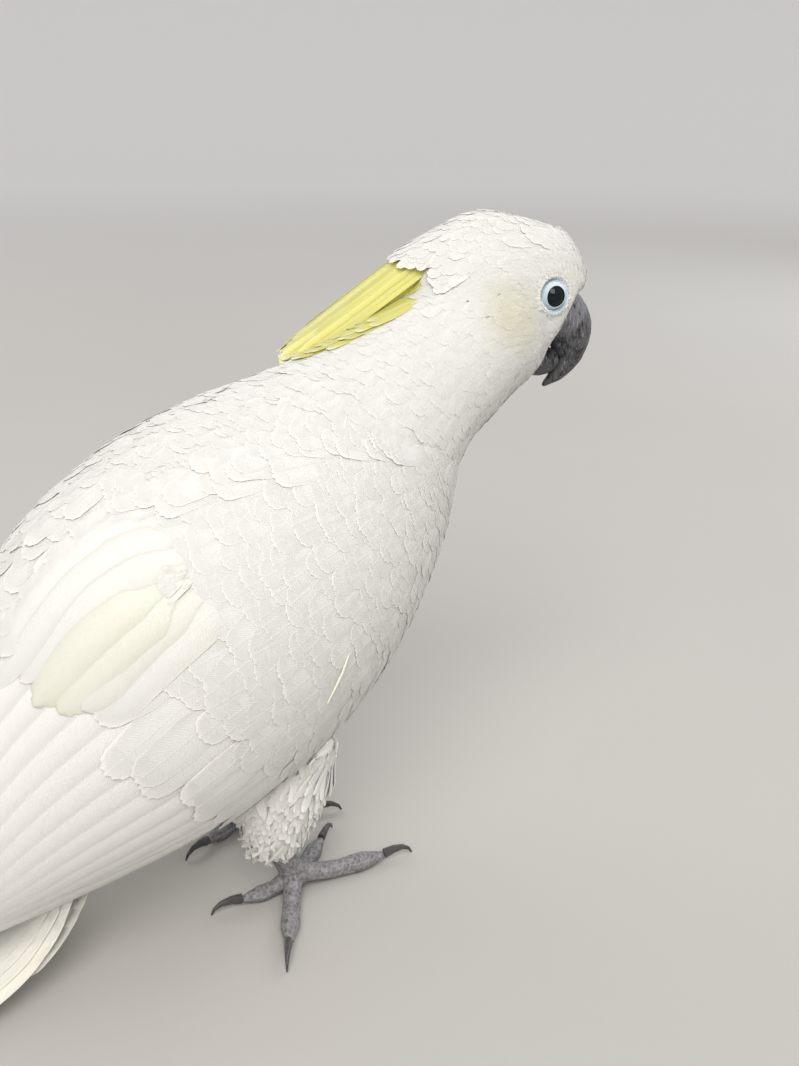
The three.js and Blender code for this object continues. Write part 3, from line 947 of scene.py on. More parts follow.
def bare_ring(name, side, ground):
    """The lids and bare ring of one eye."""
    rounds = np.linspace(0, 1, LID_ROUNDS)
    spokes = np.arange(LID_SPOKES) * 2 * math.pi / LID_SPOKES
    centre = mirrored(EYE_AT, side)
    outward = HEAD_TO_BODY @ np.array([0, side, 0])
    points, shade = [], []
    for t in rounds:
        for a in spokes:
            rx = LID_INNER[0] + (LID_OUTER[0] - LID_INNER[0]) * t
            rz = LID_INNER[1] + (LID_OUTER[1] - LID_INNER[1]) * t
            x, z = rx * math.cos(a), rz * math.sin(a)
            r = math.hypot(x, z)
            probe = head_point(centre + [x, side * 14, z])
            hit = ground.ray_cast(Vector(place(probe)), Vector(-outward))[0]
            skin_y = in_head(np.array(hit))[1] * side if hit else EYE_AT[1]
            ball_y = EYE_AT[1] + math.sqrt(max((EYE_RADIUS + CORNEA) ** 2 - r * r, 0))
            rest = skin_y + RING_OVER_SKIN
            mix = float(smoothstep(0.05, 0.75, t))
            y = ball_y * (1 - mix) + rest * mix
            y = max(y, ball_y + 0.05)
            fade = math.sin(math.pi * min(1, t * 1.05)) if t < 0.95 else 0
            wrinkle = 0.16 * math.sin(t * 34 + 2.2 * math.sin(a * 2 + 0.6)) * fade
            wrinkle += 0.05 * math.sin(a * 23 + t * 9) * fade
            puff = 0.55 * math.exp(-((t - 0.62) / 0.2) ** 2) * (0.5 - 0.5 * math.sin(a - 0.3))
            lip = 0.35 * math.exp(-((t - 0.06) / 0.07) ** 2)
            dip = RING_DIP * float(smoothstep(0.84, 1, t))
            points.append(head_point(centre * [1, 0, 1] + [x, side * (y + wrinkle + puff + lip - dip), z]))
            under = 0.5 - 0.5 * math.sin(a)
            shade.append(min(1, 0.12 + 0.55 * math.exp(-((t - 0.02) / 0.05) ** 2)
                             + 0.5 * under * math.exp(-((t - 0.75) / 0.2) ** 2)
                             + 0.35 * math.exp(-((t - 0.93) / 0.06) ** 2) + 1.2 * max(0, -wrinkle)))
    faces = ring_faces(LID_ROUNDS, LID_SPOKES)
    if side > 0:
        faces = [f[::-1] for f in faces]
    obj = mesh_object(name, place(points), faces)
    store(obj.data, "bare", np.ones(len(points)))
    store(obj.data, "lid_shade", shade)
    store(obj.data, "way_up", np.tile(outward, (len(points), 1)))
    return obj


def eye_look(tree, where):
    return {"Base_Color": tree.mix(tree.noise(where, 700.0), EYE_BLACK, EYE_SHEEN)}


eye_finish = material("dark_eye", eye_look, Roughness=0.05, Specular_IOR_Level=0.22)


def eyeball(name, side):
    """A sphere with a slight bulge where the cornea is."""
    rings, sides = 28, 40
    polar = np.linspace(0.02, math.pi - 0.02, rings)
    turn = np.arange(sides) * 2 * math.pi / sides
    bulge = EYE_RADIUS + CORNEA * np.exp(-(polar / 0.55) ** 2)
    ring = np.stack([np.outer(np.sin(polar) * bulge, np.cos(turn)),
                     np.outer(np.cos(polar) * bulge, np.ones(sides)) * side,
                     np.outer(np.sin(polar) * bulge, np.sin(turn)) * side], axis=-1)
    points, faces = tube(head_point((ring + mirrored(EYE_AT, side)).reshape(-1, 3)).reshape(rings, sides, 3))
    obj = mesh_object(name, place(points), faces)
    obj.data.materials.append(eye_finish)
    return obj


press_eye_hollows()
for key in ("bare", "lid_shade"):
    store(skin.data, key, np.zeros(len(skin.data.vertices)))
ground = tree_of(skin)
rings = [bare_ring(f"bare_ring_{which}", side, ground) for which, side in SIDES.items()]
for which, side in SIDES.items():
    piece(eyeball(f"eyeball_{which}", side), "eye", f"eye_{which}")

# %% [markdown]
# ## The bill
#
# A cockatoo's upper bill is a deep hook, keeled along its ridge. The short lower bill closes up
# behind it like a scoop. Both are black horn, but powder down turns them grey. They wear in flakes
# and streaks that run down the hook. The shapes are the CAD's own sections, drawn finely, and the
# flaking is in the mesh.

# %% Bill shapes
# Sections in the head's frame: middle x and z, half width, then the depth to the ridge side and to
# the cutting edge.
BILL_UPPER_ROWS = [(8, -11, 9, 11, 12), (20, -8, 11.5, 12, 14), (28.5, -15.5, 10.5, 11.5, 12),
                   (31, -26, 8, 8, 9), (28, -36, 4.6, 4.5, 4.5), (22.3, -42.8, 1.5, 1.5, 1.5),
                   (20.8, -44, 0.5, 0.5, 0.5)]
BILL_LOWER_ROWS = [(0, -27, 9, 7, 8), (10, -31, 10, 9, 8), (18, -32, 8.5, 8, 7), (24, -30, 6, 4, 4)]
BILL_SIDES = 72
HORN_BLACK, HORN_POWDER, HORN_SCRATCH = (0.007, 0.007, 0.009), (0.24, 0.24, 0.26), (0.60, 0.59, 0.585)
PALER_FROM, PALER_TO = [20, 0, -30], [24, 0, 2]
STREAK_LEAN, STREAK_SQUEEZE = math.radians(62), 0.09


def horn_loft(name, rows, rings, sides, keel):
    """A smooth horn body. keel narrows the ridge side into an edge."""
    rows = np.asarray(rows, float)
    t = np.linspace(0, 1, rings)
    line = blend(rows, t)
    step = np.gradient(line[:, :2], axis=0)
    step /= np.linalg.norm(step, axis=1, keepdims=True)
    ridge_way = np.column_stack([-step[:, 1], step[:, 0]])
    a = np.arange(sides) * 2 * math.pi / sides
    ring = []
    for (x, z, wide, up, down), way in zip(line, ridge_way):
        rise = np.sin(a)
        tall = np.where(rise > 0, up, down) * rise
        flat = wide * np.cos(a) * np.where(rise > 0, 1 - keel * rise ** 3, 1)
        ring.append(np.column_stack([x + tall * way[0], flat, z + tall * way[1]]))
    points, faces = tube(np.array(ring))
    obj = mesh_object(name, place(head_point(points)), faces)
    wear = []
    for x, y, z in in_head(points_of(obj.data)):
        stretched = Vector((x * 0.10 + z * 0.03, y * 0.30, z * 0.12 - x * 0.05))
        wear.append(noise.noise(stretched * 2.2) * 0.22 + abs(noise.noise(stretched * 6.0)) * 0.16)
    wear = np.array(wear)
    set_points(obj.data, points_of(obj.data) + normals_of(obj.data) * (wear * MM)[:, None])
    store(obj.data, "wear", np.clip(wear * 3 + 0.4, 0, 1))
    return obj


def bill_look(tree, where):
    local = tree.add("ShaderNodeMapping", {"Vector": where, "Rotation": (0, STREAK_LEAN, -HEAD_TURN),
                                           "Scale": (1, 1, STREAK_SQUEEZE)})
    streak = tree.noise(local, 1100.0, 4.0)
    patch = tree.noise(where, 190.0, 4.0)
    powder = tree.ramp(streak * 0.6 + patch * 0.5 + tree.attribute("wear") * 0.12, 0.50, 0.66)
    scratch = tree.ramp(tree.noise(local, 1700.0, 2.0), 0.61, 0.74)
    up = tree.add("ShaderNodeSeparateXYZ", {0: where}, out="Z")
    # The bill is drawn paler towards its top: the powder and scratch colours weigh more there.
    high = tree.ramp(up, *(float(place(head_point(p))[2]) for p in (PALER_FROM, PALER_TO)))
    horn = tree.mix(powder * (0.26 + high * 0.60), HORN_BLACK, HORN_POWDER)
    horn = tree.mix(scratch * (0.5 + high * 0.1), horn, HORN_SCRATCH)
    return {"Base_Color": horn, "Roughness": 0.30 + powder * 0.38,
            "Normal": tree.bump(streak + patch * 0.6, 0.00035, 0.7)}


bill_finish = material("powdered_horn", bill_look)
for name, rows, rings_count, keel in (("bill_upper", BILL_UPPER_ROWS, 90, 0.38),
                                      ("bill_lower", BILL_LOWER_ROWS, 50, 0.1)):
    horn = horn_loft(f"{name}_horn", rows, rings_count, BILL_SIDES, keel)
    horn.data.materials.append(bill_finish)
    piece(horn, "bill", name)

# %% [markdown]
# ## Long feathers
#
# Flight feathers, tail feathers and crest plumes are too long and too shaped to be copies. Each is
# drawn on its own: a line of places from quill to tip, a width along it, and an arch across. In
# some the web has parted in one place, as it does on a live bird.

# %% Draw long feathers


class Plumes:
    """Collects long feathers and makes one mesh of them."""

    def __init__(self):
        self.points, self.faces, self.along, self.across = [], [], [], []
        self.tints, self.sizes, self.roots = [], [], []

    def add(self, line, out, half, arch, thick, root_uv, tint=0.0, ground=None, lift=None,
            columns=7, split=(), tilt=0.0):
        """line and out: places (mm) and outward directions from quill to tip. half: half width at
        each place. ground: a BVH of the surface to follow, with lift (mm) above it at each place,
        and tilt (mm) from one edge to the other. split: places where the web has parted."""
        line, out, half = (np.asarray(v, float) for v in (line, out, half))
        m = len(line)
        t = np.linspace(0, 1, m)
        way = unit(np.gradient(line, axis=0))
        side = unit(np.cross(out, way))
        up = np.cross(way, side)
        grid = np.linspace(-1, 1, columns)
        base = sum(len(p) for p in self.points)
        top, low = np.zeros((m, columns, 3)), np.zeros((m, columns, 3))
        length = np.linalg.norm(np.diff(line, axis=0), axis=1).sum()
        for j, g in enumerate(grid):
            web = half * abs(g)
            notch = np.zeros(m)
            for where, depth in split:
                notch += depth * np.exp(-((t - where) / 0.012) ** 2) * (abs(g) > 0.6)
            web = web * (1 - notch)
            edge = 1 - abs(g) ** 2
            p = line + side * (web * np.sign(g))[:, None] + up * (arch * edge)
            if ground is not None:
                for i in range(m):
                    hit, normal, _, _ = ground.find_nearest(Vector(place(p[i])))
                    height = lift[i] + arch * edge + tilt * g
                    p[i] = unplace(np.array(hit)) + np.array(normal) * height
            body = thick * edge * (1.1 - t)
            top[:, j] = p + up * body[:, None] * 0.5
            low[:, j] = p - up * body[:, None] * 0.5
        low[:, [0, -1]] = top[:, [0, -1]]
        mid = slice(1, columns - 1)
        self.points.append(np.vstack([top.reshape(-1, 3), low[:, mid].reshape(-1, 3)]))
        inner = columns - 2

        def at(i, j, lower):
            if lower and 0 < j < columns - 1:
                return base + m * columns + i * inner + j - 1
            return base + i * columns + j

        for i in range(m - 1):
            for j in range(columns - 1):
                self.faces.append((at(i, j, 0), at(i + 1, j, 0), at(i + 1, j + 1, 0), at(i, j + 1, 0)))
                self.faces.append((at(i, j, 1), at(i, j + 1, 1), at(i + 1, j + 1, 1), at(i + 1, j, 1)))
        for i, flip in ((0, False), (m - 1, True)):
            for j in range(columns - 1):
                quad = [at(i, j, 0), at(i, j + 1, 0), at(i, j + 1, 1), at(i, j, 1)]
                quad = tuple(dict.fromkeys(quad))
                self.faces.append(quad[::-1] if flip else quad)
        along = np.repeat(t, columns)
        self.along += [along, np.repeat(t, inner)]
        self.across += [np.tile(grid, m), np.tile(grid[mid], m)]
        n = m * (columns + inner)
        self.tints.append(np.full(n, tint))
        self.sizes.append(np.tile([length * MM, half.max() * 2 * MM, 1.0], (n, 1)))
        self.roots.append(np.tile(np.asarray(root_uv, float), (n, 1)))

    def build(self, name, finish):
        obj = mesh_object(name, place(np.vstack(self.points)), self.faces)
        mesh = obj.data
        along, across = np.concatenate(self.along), np.concatenate(self.across)
        store(mesh, "along", along)
        store(mesh, "across", across)
        store(mesh, "tint", np.concatenate(self.tints))
        store(mesh, "size", np.vstack(self.sizes))
        sharpen(mesh, np.abs(across) > 0.999)
        corner = np.empty(len(mesh.loops), dtype=np.int32)
        mesh.loops.foreach_get("vertex_index", corner)
        uv = np.vstack(self.roots) + np.column_stack([across * 0.5, along]) * PATCH
        mesh.uv_layers.new(name="OFBake").data.foreach_set("uv", uv[corner].ravel())
        mesh.materials.append(finish)
        return obj


def quill_steps(rows):
    """Steps from quill to tip, closer together at the tip."""
    return 1 - (1 - np.linspace(0, 1, rows)) ** 1.7


def vane_width(t, quill=0.25, full=0.25, taper=0.12):
    """Half width along a feather: a narrow quill, a full middle, a rounded tip."""
    t = np.asarray(t, float)
    rise = quill + (1 - quill) * smoothstep(0, full, t)
    end = np.sqrt(np.clip(1 - np.clip((t - (1 - taper)) / taper, 0, 1) ** 2, 0.0009, 1))
    return rise * end


def parted(rng, share, low, high, depth):
    """Now and then, one place between low and high where a feather's web has parted."""
    return ((rng.uniform(low, high), depth),) if rng.random() < share else ()


print("long feathers ready")

# %% [markdown]
# ## The folded wing's surface
#
# A folded wing wraps the body like a curved plate, from the wrist at the breast to the tips over
# the tail. One function gives any place on it from two numbers: s from wrist to tips, and e from
# the lower edge (-1) to the upper (1). The arm under the feathers is a thin solid just inside that
# surface, and a finer, wider sheet of it is what feathers are laid on. Past the wing's edges the
# sheet comes down onto the skin, so that its feathers run on over the breast and back.

# %% Wing surface and arm
WING_CORE_INSET = 2.6


def wing_point(s, e, side):
    """Millimetres in the body's frame, for arrays of s and e. side is 1 left, -1 right."""
    s, e = np.broadcast_arrays(np.asarray(s, float), np.asarray(e, float))
    shape = s.shape
    s, e = s.ravel(), e.ravel()
    row = blend(WING_ROWS, s)
    step = (blend(WING_ROWS, s + 0.01) - blend(WING_ROWS, s - 0.01))[:, :2]
    step /= np.linalg.norm(step, axis=1, keepdims=True)
    x, z, wide, up, down, low, high = row.T
    angle = np.radians(low + (high - low) * (e + 1) / 2)
    tall = np.where(angle > 0, up, down) * np.sin(angle)
    flat = wide * np.cos(angle)
    p = np.column_stack([x + tall * step[:, 1], side * flat, z - tall * step[:, 0]])
    return p.reshape(*shape, 3)


def wing_frame(s, e, side):
    """Place, outward direction and backward direction on the wing."""
    p = wing_point(s, e, side)
    back = unit(wing_point(np.asarray(s) + 0.01, e, side) - wing_point(np.asarray(s) - 0.01, e, side))
    up = unit(wing_point(s, np.asarray(e) + 0.02, side) - wing_point(s, np.asarray(e) - 0.02, side))
    out = unit(np.cross(up, back) * -side)
    return p, out, back


def wing_core(side, name):
    """The arm under the wing's feathers, a thin closed plate."""
    s, e = np.meshgrid(np.linspace(0.05, 0.95, 60), np.linspace(-0.95, 0.78, 36), indexing="ij")
    edge = 1 - 0.75 * np.abs(e) ** 4
    inset = WING_CORE_INSET + 2.4 * smoothstep(0.5, 0.78, e) + 2.0 * (1 - smoothstep(0.05, 0.16, s))
    thick = np.interp(s, [0, 0.2, 0.5, 0.9, 1], [1.2, 5, 4.6, 1.2, 0.6])
    _, out, _ = wing_frame(s, e, side)
    outer = wing_point(s, e, side) - out * inset[..., None]
    inner = outer - out * (thick * edge)[..., None]
    m, n = s.shape
    points = np.vstack([outer.reshape(-1, 3), inner.reshape(-1, 3)])
    faces = sheet_faces(m, n) + [tuple(v + m * n for v in f[::-1]) for f in sheet_faces(m, n)]
    rim = [i * n for i in range(m)] + [(m - 1) * n + j for j in range(1, n)]
    rim += [i * n + n - 1 for i in range(m - 2, -1, -1)] + list(range(n - 2, 0, -1))
    faces += [(b, a, a + m * n, b + m * n) for a, b in zip(rim, rim[1:] + rim[:1])]
    if side < 0:
        faces = [f[::-1] for f in faces]
    obj = mesh_object(name, place(points), faces)
    for key in ("bare", "lid_shade"):
        store(obj.data, key, np.zeros(len(points)))
    obj.data.materials.append(skin_finish)
    return obj


def drape(points, shape, fall, gap, rounds):
    """Lowers a grid of places (mm) onto the skin, all the way where fall is 1, then smooths it."""
    body = tree_of(skin)
    for i in np.flatnonzero(fall > 0):
        hit, normal, _, _ = body.find_nearest(Vector(place(points[i])))
        on_skin = unplace(np.array(hit)) + np.array(normal) * gap
        points[i] += (on_skin - points[i]) * fall[i]
    grid = points.reshape(*shape, 3)
    for _ in range(rounds):
        grid[1:-1, 1:-1] = (grid[:-2, 1:-1] + grid[2:, 1:-1] + grid[1:-1, :-2] + grid[1:-1, 2:]) / 4


def wing_ground(side, name):
    """The sheet that wing feathers lie on, run on past the wing's edges."""
    s, e = np.meshgrid(np.linspace(-0.06, 1.08, 90), np.linspace(-1.55, 1.55, 82), indexing="ij")
    points = wing_point(s, e, side).reshape(-1, 3)
    upper = smoothstep(0.80, 1.12, e)
    front = (1 - smoothstep(-0.045, 0.05, s)) * smoothstep(-0.95, -0.6, e)
    lower = (1 - smoothstep(-1.34, -1.0, e)) * (1 - smoothstep(0.22, 0.42, s))
    drape(points, s.shape, np.maximum(np.maximum(upper, front), lower).ravel(), 1.0, 14)
    faces = sheet_faces(*s.shape)
    if side < 0:
        faces = [f[::-1] for f in faces]
    obj = mesh_object(name, place(points), faces)
    obj.data.flip_normals()
    remember_up(obj)
    print(name, "faces outwards:", (normals_of(obj.data)[:, 1] * side).mean() > 0)
    return obj


cores = {which: wing_core(side, f"wing_arm_{which}") for which, side in SIDES.items()}
grounds = {which: wing_ground(side, f"wing_ground_{which}") for which, side in SIDES.items()}
trees = {which: tree_of(obj) for which, obj in grounds.items()}
for which, obj in cores.items():
    piece(obj, "plumage", f"wing_{which}")

# %% [markdown]
# ## Flight feathers
#
# Behind the coverts lie the long feathers. The secondaries run back side by side, each inner one
# over the next outer one, so what shows of each is a long strip with one clean edge. Below and
# behind them the primaries reach the wing tip, each a little longer than the last.

# %% Secondaries, tertials and primaries
PRIMARIES, SECONDARIES = 9, 13
FLIGHT_ROWS, FLIGHT_TINT, FLIGHT_TILT = 26, 0.02, 0.28


def flight_feather(plumes, which, root, tip, half, lift, bow, split):
    """One feather laid on the wing from root (s, e) to tip (s, e)."""
    side = SIDES[which]
    t = quill_steps(FLIGHT_ROWS)
    s = root[0] + (tip[0] - root[0]) * t
    e = root[1] + (tip[1] - root[1]) * t ** 1.15 + bow * np.sin(math.pi * t)
    line, out, _ = wing_frame(s, e, side)
    uv = [0.55 * root[0] + 0.2, 0.5 + side * 0.2 + 0.1 * root[1]]
    plumes.add(line, out, half * vane_width(t, 0.35, 0.3, 0.09), 0.14, 0.3, uv, tint=FLIGHT_TINT,
               ground=trees[which], lift=lift[0] + (lift[1] - lift[0]) * t, split=split,
               tilt=-side * FLIGHT_TILT)


def flight_set(which):
    rng = np.random.default_rng(70 + SIDES[which])
    plumes = Plumes()
    for k in range(PRIMARIES):
        f = k / (PRIMARIES - 1)
        root = (0.50 - 0.05 * f, -0.80 + 0.10 * f)
        tip = (0.80 + 0.21 * f, -1.02 + 0.42 * f)
        lift = (-1.2 + 0.07 * k, -0.5 + 0.11 * k)
        flight_feather(plumes, which, root, tip, 8.6 - 1.2 * f, lift, -0.03, parted(rng, 0.4, 0.6, 0.85, 0.2))
    for k in range(SECONDARIES):
        f = k / (SECONDARIES - 1)
        root = (0.44 - 0.06 * f, -0.62 + 1.42 * f)
        tip = (0.90 - 0.08 * f ** 2 + rng.normal(0, 0.004), -0.50 + 1.40 * f)
        lift = (-1.1 + 0.06 * k, 0.0 + 0.10 * k)
        flight_feather(plumes, which, root, tip, 9.6 + 1.8 * f, lift, 0.02, parted(rng, 0.3, 0.5, 0.8, 0.2))
    return plumes.build(f"flight_feathers_{which}", feather_white)


for which in SIDES:
    piece(flight_set(which), "plumage")

# %% [markdown]
# ## Coverts
#
# Smaller feathers cover the roots of the long ones, in sizes that fall off towards the wrist, with
# one row of long greater coverts behind them. They are laid on the wing's sheet by the same tree as
# the body's feathers. Uneven, staggered rows keep the wing soft, where neat rows would look scaled.

# %% Wing coverts
COVERT_END, COVERT_THICK = 0.40, 0.09
GREATER_AT, GREATER_LENGTH, GREATER_COUNT = 0.43, 50, 19


def covert_spots(rng):
    """Roots (s, e) over the wing's front, in staggered, uneven rows, with the feathers' lengths."""
    spots = []
    s = -0.03
    row = 0
    while s < COVERT_END:
        length = 15 + 44 * max(s, 0)
        count = int(35 - 20 * s)
        for k in range(count):
            low = -1.03 - 0.30 * (1 - smoothstep(0.18, 0.36, s))
            e = low + (1.05 - low) * (k + 0.5 * (row % 2)) / (count - 1)
            spots.append((s + rng.normal(0, 0.006) - 0.03 * e * e, e + rng.normal(0, 0.022), length))
        s += 0.0125 + 0.02 * max(s, 0)
        row += 1
    return np.array(spots)


def wing_roots(rng, side, s, e, length, breadth, map_v, sway, vary, sit, rise, rise_range, curl, arch):
    """The arrays for feathers laid on a wing's sheet with their roots at (s, e), in millimetres."""
    p, out, back = wing_frame(s, e, side)
    n = len(s)
    return {
        "at": place(p), "up": out, "aim": turned(back, out, rng.normal(0, sway, n)),
        "size": np.column_stack([length * rng.uniform(1 - vary, 1 + vary, n) * MM,
                                 length * breadth * MM, np.ones(n)]),
        "root_uv": np.column_stack([0.55 * s + 0.2, map_v, 0 * s]),
        "sit": (sit + rng.uniform(-0.1, 0.1, n)) * MM,
        "rise": rise * rng.uniform(*rise_range, n) * MM,
        "curl": rng.uniform(0, curl, n) * MM, "arch": np.full(n, arch * MM), "tint": np.zeros(n),
    }


def covert_roots(which):
    side = SIDES[which]
    rng = np.random.default_rng(90 + side)
    small = covert_spots(rng)
    spots = np.linspace(-1.0, 1.02, GREATER_COUNT)
    great = np.column_stack([GREATER_AT - 0.03 * spots ** 2 + rng.normal(0, 0.006, GREATER_COUNT),
                             spots + rng.normal(0, 0.01, GREATER_COUNT),
                             np.full(GREATER_COUNT, GREATER_LENGTH)])
    s, e, length = np.vstack([great, small]).T
    is_great = length == GREATER_LENGTH
    return wing_roots(rng, side, s, e, length, breadth=np.where(is_great, 0.36, 0.52),
                      map_v=0.5 + side * 0.2 + 0.1 * e, sway=0.09, vary=0.12,
                      sit=np.where(is_great, -0.5, -0.45), rise=np.where(is_great, 1.45, 0.75 + 0.9 * s),
                      rise_range=(0.85, 1.15), curl=0.12, arch=0.12)


covert_vane = vane("covert_vane", [(0, 0.3), (0.15, 0.7), (0.35, 0.95), (0.6, 1.0), (0.8, 0.9)], 6, across=5)
for which in SIDES:
    laid = lay(f"wing_coverts_{which}", covert_roots(which), covert_vane, grounds[which], feather_white,
               COVERT_THICK)
    piece(laid, "plumage")

# %% [markdown]
# ## Body, neck and head feathers
#
# Now the skin is covered. Roots stand four to five millimetres apart on the trunk and under two on
# the face, and each feather is three to five times as long as that, so that all the skin is under
# several layers. None grow on the bare rings, against the bill, or under the arms of the wings.

# %% Cover the skin
bill_trees = [tree_of(bpy.data.objects[f"bill_{part}_horn"]) for part in ("upper", "lower")]
core_trees = [tree_of(obj) for obj in cores.values()]
NO_EYE_NEAR = 99.0
ARM_REACH, BILL_CLEAR = 0.022, 0.9 * MM
BODY_FEATHER, NECK_FEATHER, LEG_FEATHER = 24, 15, 15
HEAD_FEATHER, FACE_FEATHER, LID_FEATHER = 8.5, 4.4, 2.7


def eye_distance(p):
    """How far places (mm) are from the nearer eye's middle, seen from the side."""
    h = (p - HEAD_AT) @ HEAD_TO_BODY
    gap = np.full(len(p), NO_EYE_NEAR)
    for side in SIDES.values():
        off = h - mirrored(EYE_AT, side)
        r = np.hypot(off[:, 0] / LID_OUTER[0], off[:, 2] / LID_OUTER[1]) * LID_OUTER[1]
        gap = np.where(h[:, 1] * side > 8, np.minimum(gap, r), gap)
    return gap


def zone(p):
    """1 on the head, and 1 on the face."""
    h = (p - HEAD_AT) @ HEAD_TO_BODY
    head = smoothstep(-52, -26, h[:, 0])
    face = smoothstep(-26, 6, h[:, 0])
    return head, face


def feather_size(p):
    """Length of the feathers at a place, in millimetres."""
    head, face = zone(p)
    size = BODY_FEATHER - (BODY_FEATHER - NECK_FEATHER) * smoothstep(20, 78, p[:, 0])
    lids = 1 - smoothstep(LID_OUTER[1] + 0.5, LID_OUTER[1] + 6, eye_distance(p))
    leg = (1 - smoothstep(62, 84, p[:, 2])) * (p[:, 0] > -60)
    for share, length in ((head, HEAD_FEATHER), (face, FACE_FEATHER), (lids, LID_FEATHER),
                          (leg, LEG_FEATHER)):
        size = size + (length - size) * share
    return size


def grows(p, normal):
    """Whether a feather can grow at a place: not on a bare ring, not with its root and tip both
    under an arm, and not against the bill."""
    ok = eye_distance(p) > LID_OUTER[1] - 1.6
    for i in np.flatnonzero(ok):
        at, out = Vector(place(p[i])), Vector(normal[i])
        for tree in core_trees:
            if tree.ray_cast(at, out, ARM_REACH)[0] is not None:
                further = Vector(place(p[i] + lie(p[i])[0] * 14))
                ok[i] = tree.ray_cast(further, out, ARM_REACH)[0] is None
        if ok[i]:
            ok[i] = all(tree.find_nearest(at)[3] > BILL_CLEAR for tree in bill_trees)
    return ok


def on_leg(p):
    return (p[:, 2] < 76) & (p[:, 0] > -48) & (p[:, 0] < 32) & (np.abs(p[:, 1]) > 8)


def cover(name, seed, gap_share, low, high, legs=False, **look):
    """Feathers over the part of the skin where feather_size is between low and high."""
    def inside(p):
        size = feather_size(p)
        return ((size >= low) & (size < high) & (on_leg(p) == legs)).astype(float)

    at, normal = spread(skin, lambda p: feather_size(p) * gap_share, seed, inside)
    p = unplace(at)
    ok = grows(p, normal)
    if legs:
        ok &= normal[:, 2] > -0.6
    at, normal, p = at[ok], normal[ok], p[ok]
    size = feather_size(p)
    way = lie(p)
    rise = look.pop("lift", 0.055) * size
    if legs:
        low_down = 1 - smoothstep(24, 56, p[:, 2])
        rise = rise + 4.5 * low_down
        size = size + 3 * low_down
        look["curl"] = 1.2 + 1.5 * low_down
    obj = plumage(name, at, normal, size, size * look.pop("breadth", 0.55),
                  look.pop("sit", 0.5), rise, 0.012 * size, seed, way=way, **look)
    print(name, len(at), "feathers")
    return piece(obj, "plumage")


join([skin, *rings], "skin")
skin.data.materials.clear()
skin.data.materials.append(skin_finish)
piece(skin, "plumage", *SKIN_NODES)
cover("coat_face", 11, 0.32, 0, 6.5, template=face_vane, thickness=0.05, stray=0.1, sit=0.25,
      lift=0.045)
cover("coat_head", 12, 0.30, 6.5, 12, thickness=0.06, stray=0.1, lift=0.04)
cover("coat_neck", 13, 0.19, 12, 18.5, stray=0.12, thickness=0.08, lift=0.045)
cover("coat_body", 14, 0.19, 18.5, 40, stray=0.12, thickness=0.08, lift=0.045)
cover("coat_thighs", 15, 0.108, 0, 40, legs=True, stray=0.36, breadth=0.17, lift=0.17, thickness=0.07)

# %% [markdown]
# ## Back and rump
#
# Between the folded wings lies a hollow, which a live bird fills with long, loose feathers. They
# could be part of the body's coat, but they are longer than their neighbours, so they are laid
# apart, only where the skin faces up.

# %% Feathers between the wings


def back_feathers():
    """Long, loose feathers that fill the hollow between the folded wings."""
    def middle(p):
        return ((p[:, 0] < 20) & (np.abs(p[:, 1]) < 24)).astype(float)

    at, normal = spread(skin, lambda p: np.full(len(p), 4.6), 160, middle)
    on_top = normal[:, 2] > 0.35
    at, normal = at[on_top], normal[on_top]
    x = unplace(at)[:, 0]
    size = 24 + 12 * smoothstep(0, 70, -x)
    return plumage("back_feathers", at, normal, size, size * 0.42, 0.6, 1.0 + 2.2 * smoothstep(20, 90, -x),
                   0.2, 161, curl=0.3, stray=0.14, thickness=0.07)


piece(back_feathers(), "plumage")

# %% [markdown]
# ## Ruffled tufts
#
# Where the folded wing's bend meets the breast it pushes the plumage up. A few narrow feathers are
# strewn there over the coat, each turned a little out of the lie.

# %% Ruffled tufts at the wing's bend
RUFFLE_AT, RUFFLE_REACH = np.array([64.0, 46.0, 190.0]), 15.0


def ruffle(which):
    """Loose feathers that stand off the breast where the wing's bend pushes them up."""
    side = SIDES[which]
    centre = mirrored(RUFFLE_AT, side)

    def near(p):
        return (np.linalg.norm(p - centre, axis=1) < RUFFLE_REACH).astype(float)

    at, normal = spread(skin, lambda p: np.full(len(p), 2.0), 140 + side, near)
    size = np.full(len(at), 13.0)
    return plumage(f"breast_ruffle_{which}", at, normal, size, size * 0.24, 0.6, 2.2 * np.ones(len(at)),
                   0.2, 141 + side, curl=1.2, stray=0.45, thickness=0.05)


for which in SIDES:
    piece(ruffle(which), "plumage")

# %% [markdown]
# ## The crest
#
# At rest the crest lies back along the nape. Long lemon plumes spring from the crown and end in a
# ragged, squared tip. They are drawn one by one round a slim core, in the CAD crest's own sections,
# and a few short ones are laid on the skin beside them. White forecrest feathers hide their roots.
# These could be drawn one by one too, but gaps would show at the sides, so they are laid on a sheet
# that comes down from the crest onto the skin.

# %% Crest plumes
PLUME_ROWS, PLUME_LOW_SHORTER = 20, 5
# Each layer's share of the way out from the crest's middle, its count, and its turn by plumes.
PLUME_LAYERS = ((0.7, 9, 0.2), (0.92, 13, 0.5), (1.1, 16, 0.0))
# Sections from tip to forehead, in the head's frame: x, z, half width, height up and down.
CREST_ROWS = np.array([(-105, -41, 9, 2.5, 4), (-94.5, -34, 11, 4.5, 6.5), (-74, -16.5, 13, 6, 8.5),
                       (-52, 3, 14, 7, 8.5), (-38, 14.5, 14, 6, 7), (-22, 26, 13, 4.5, 6),
                       (-4, 30.5, 10, 3, 5), (14, 28, 5, 1.8, 3)], float)
CREST_FINE = blend(CREST_ROWS, np.linspace(0, 1, 400))


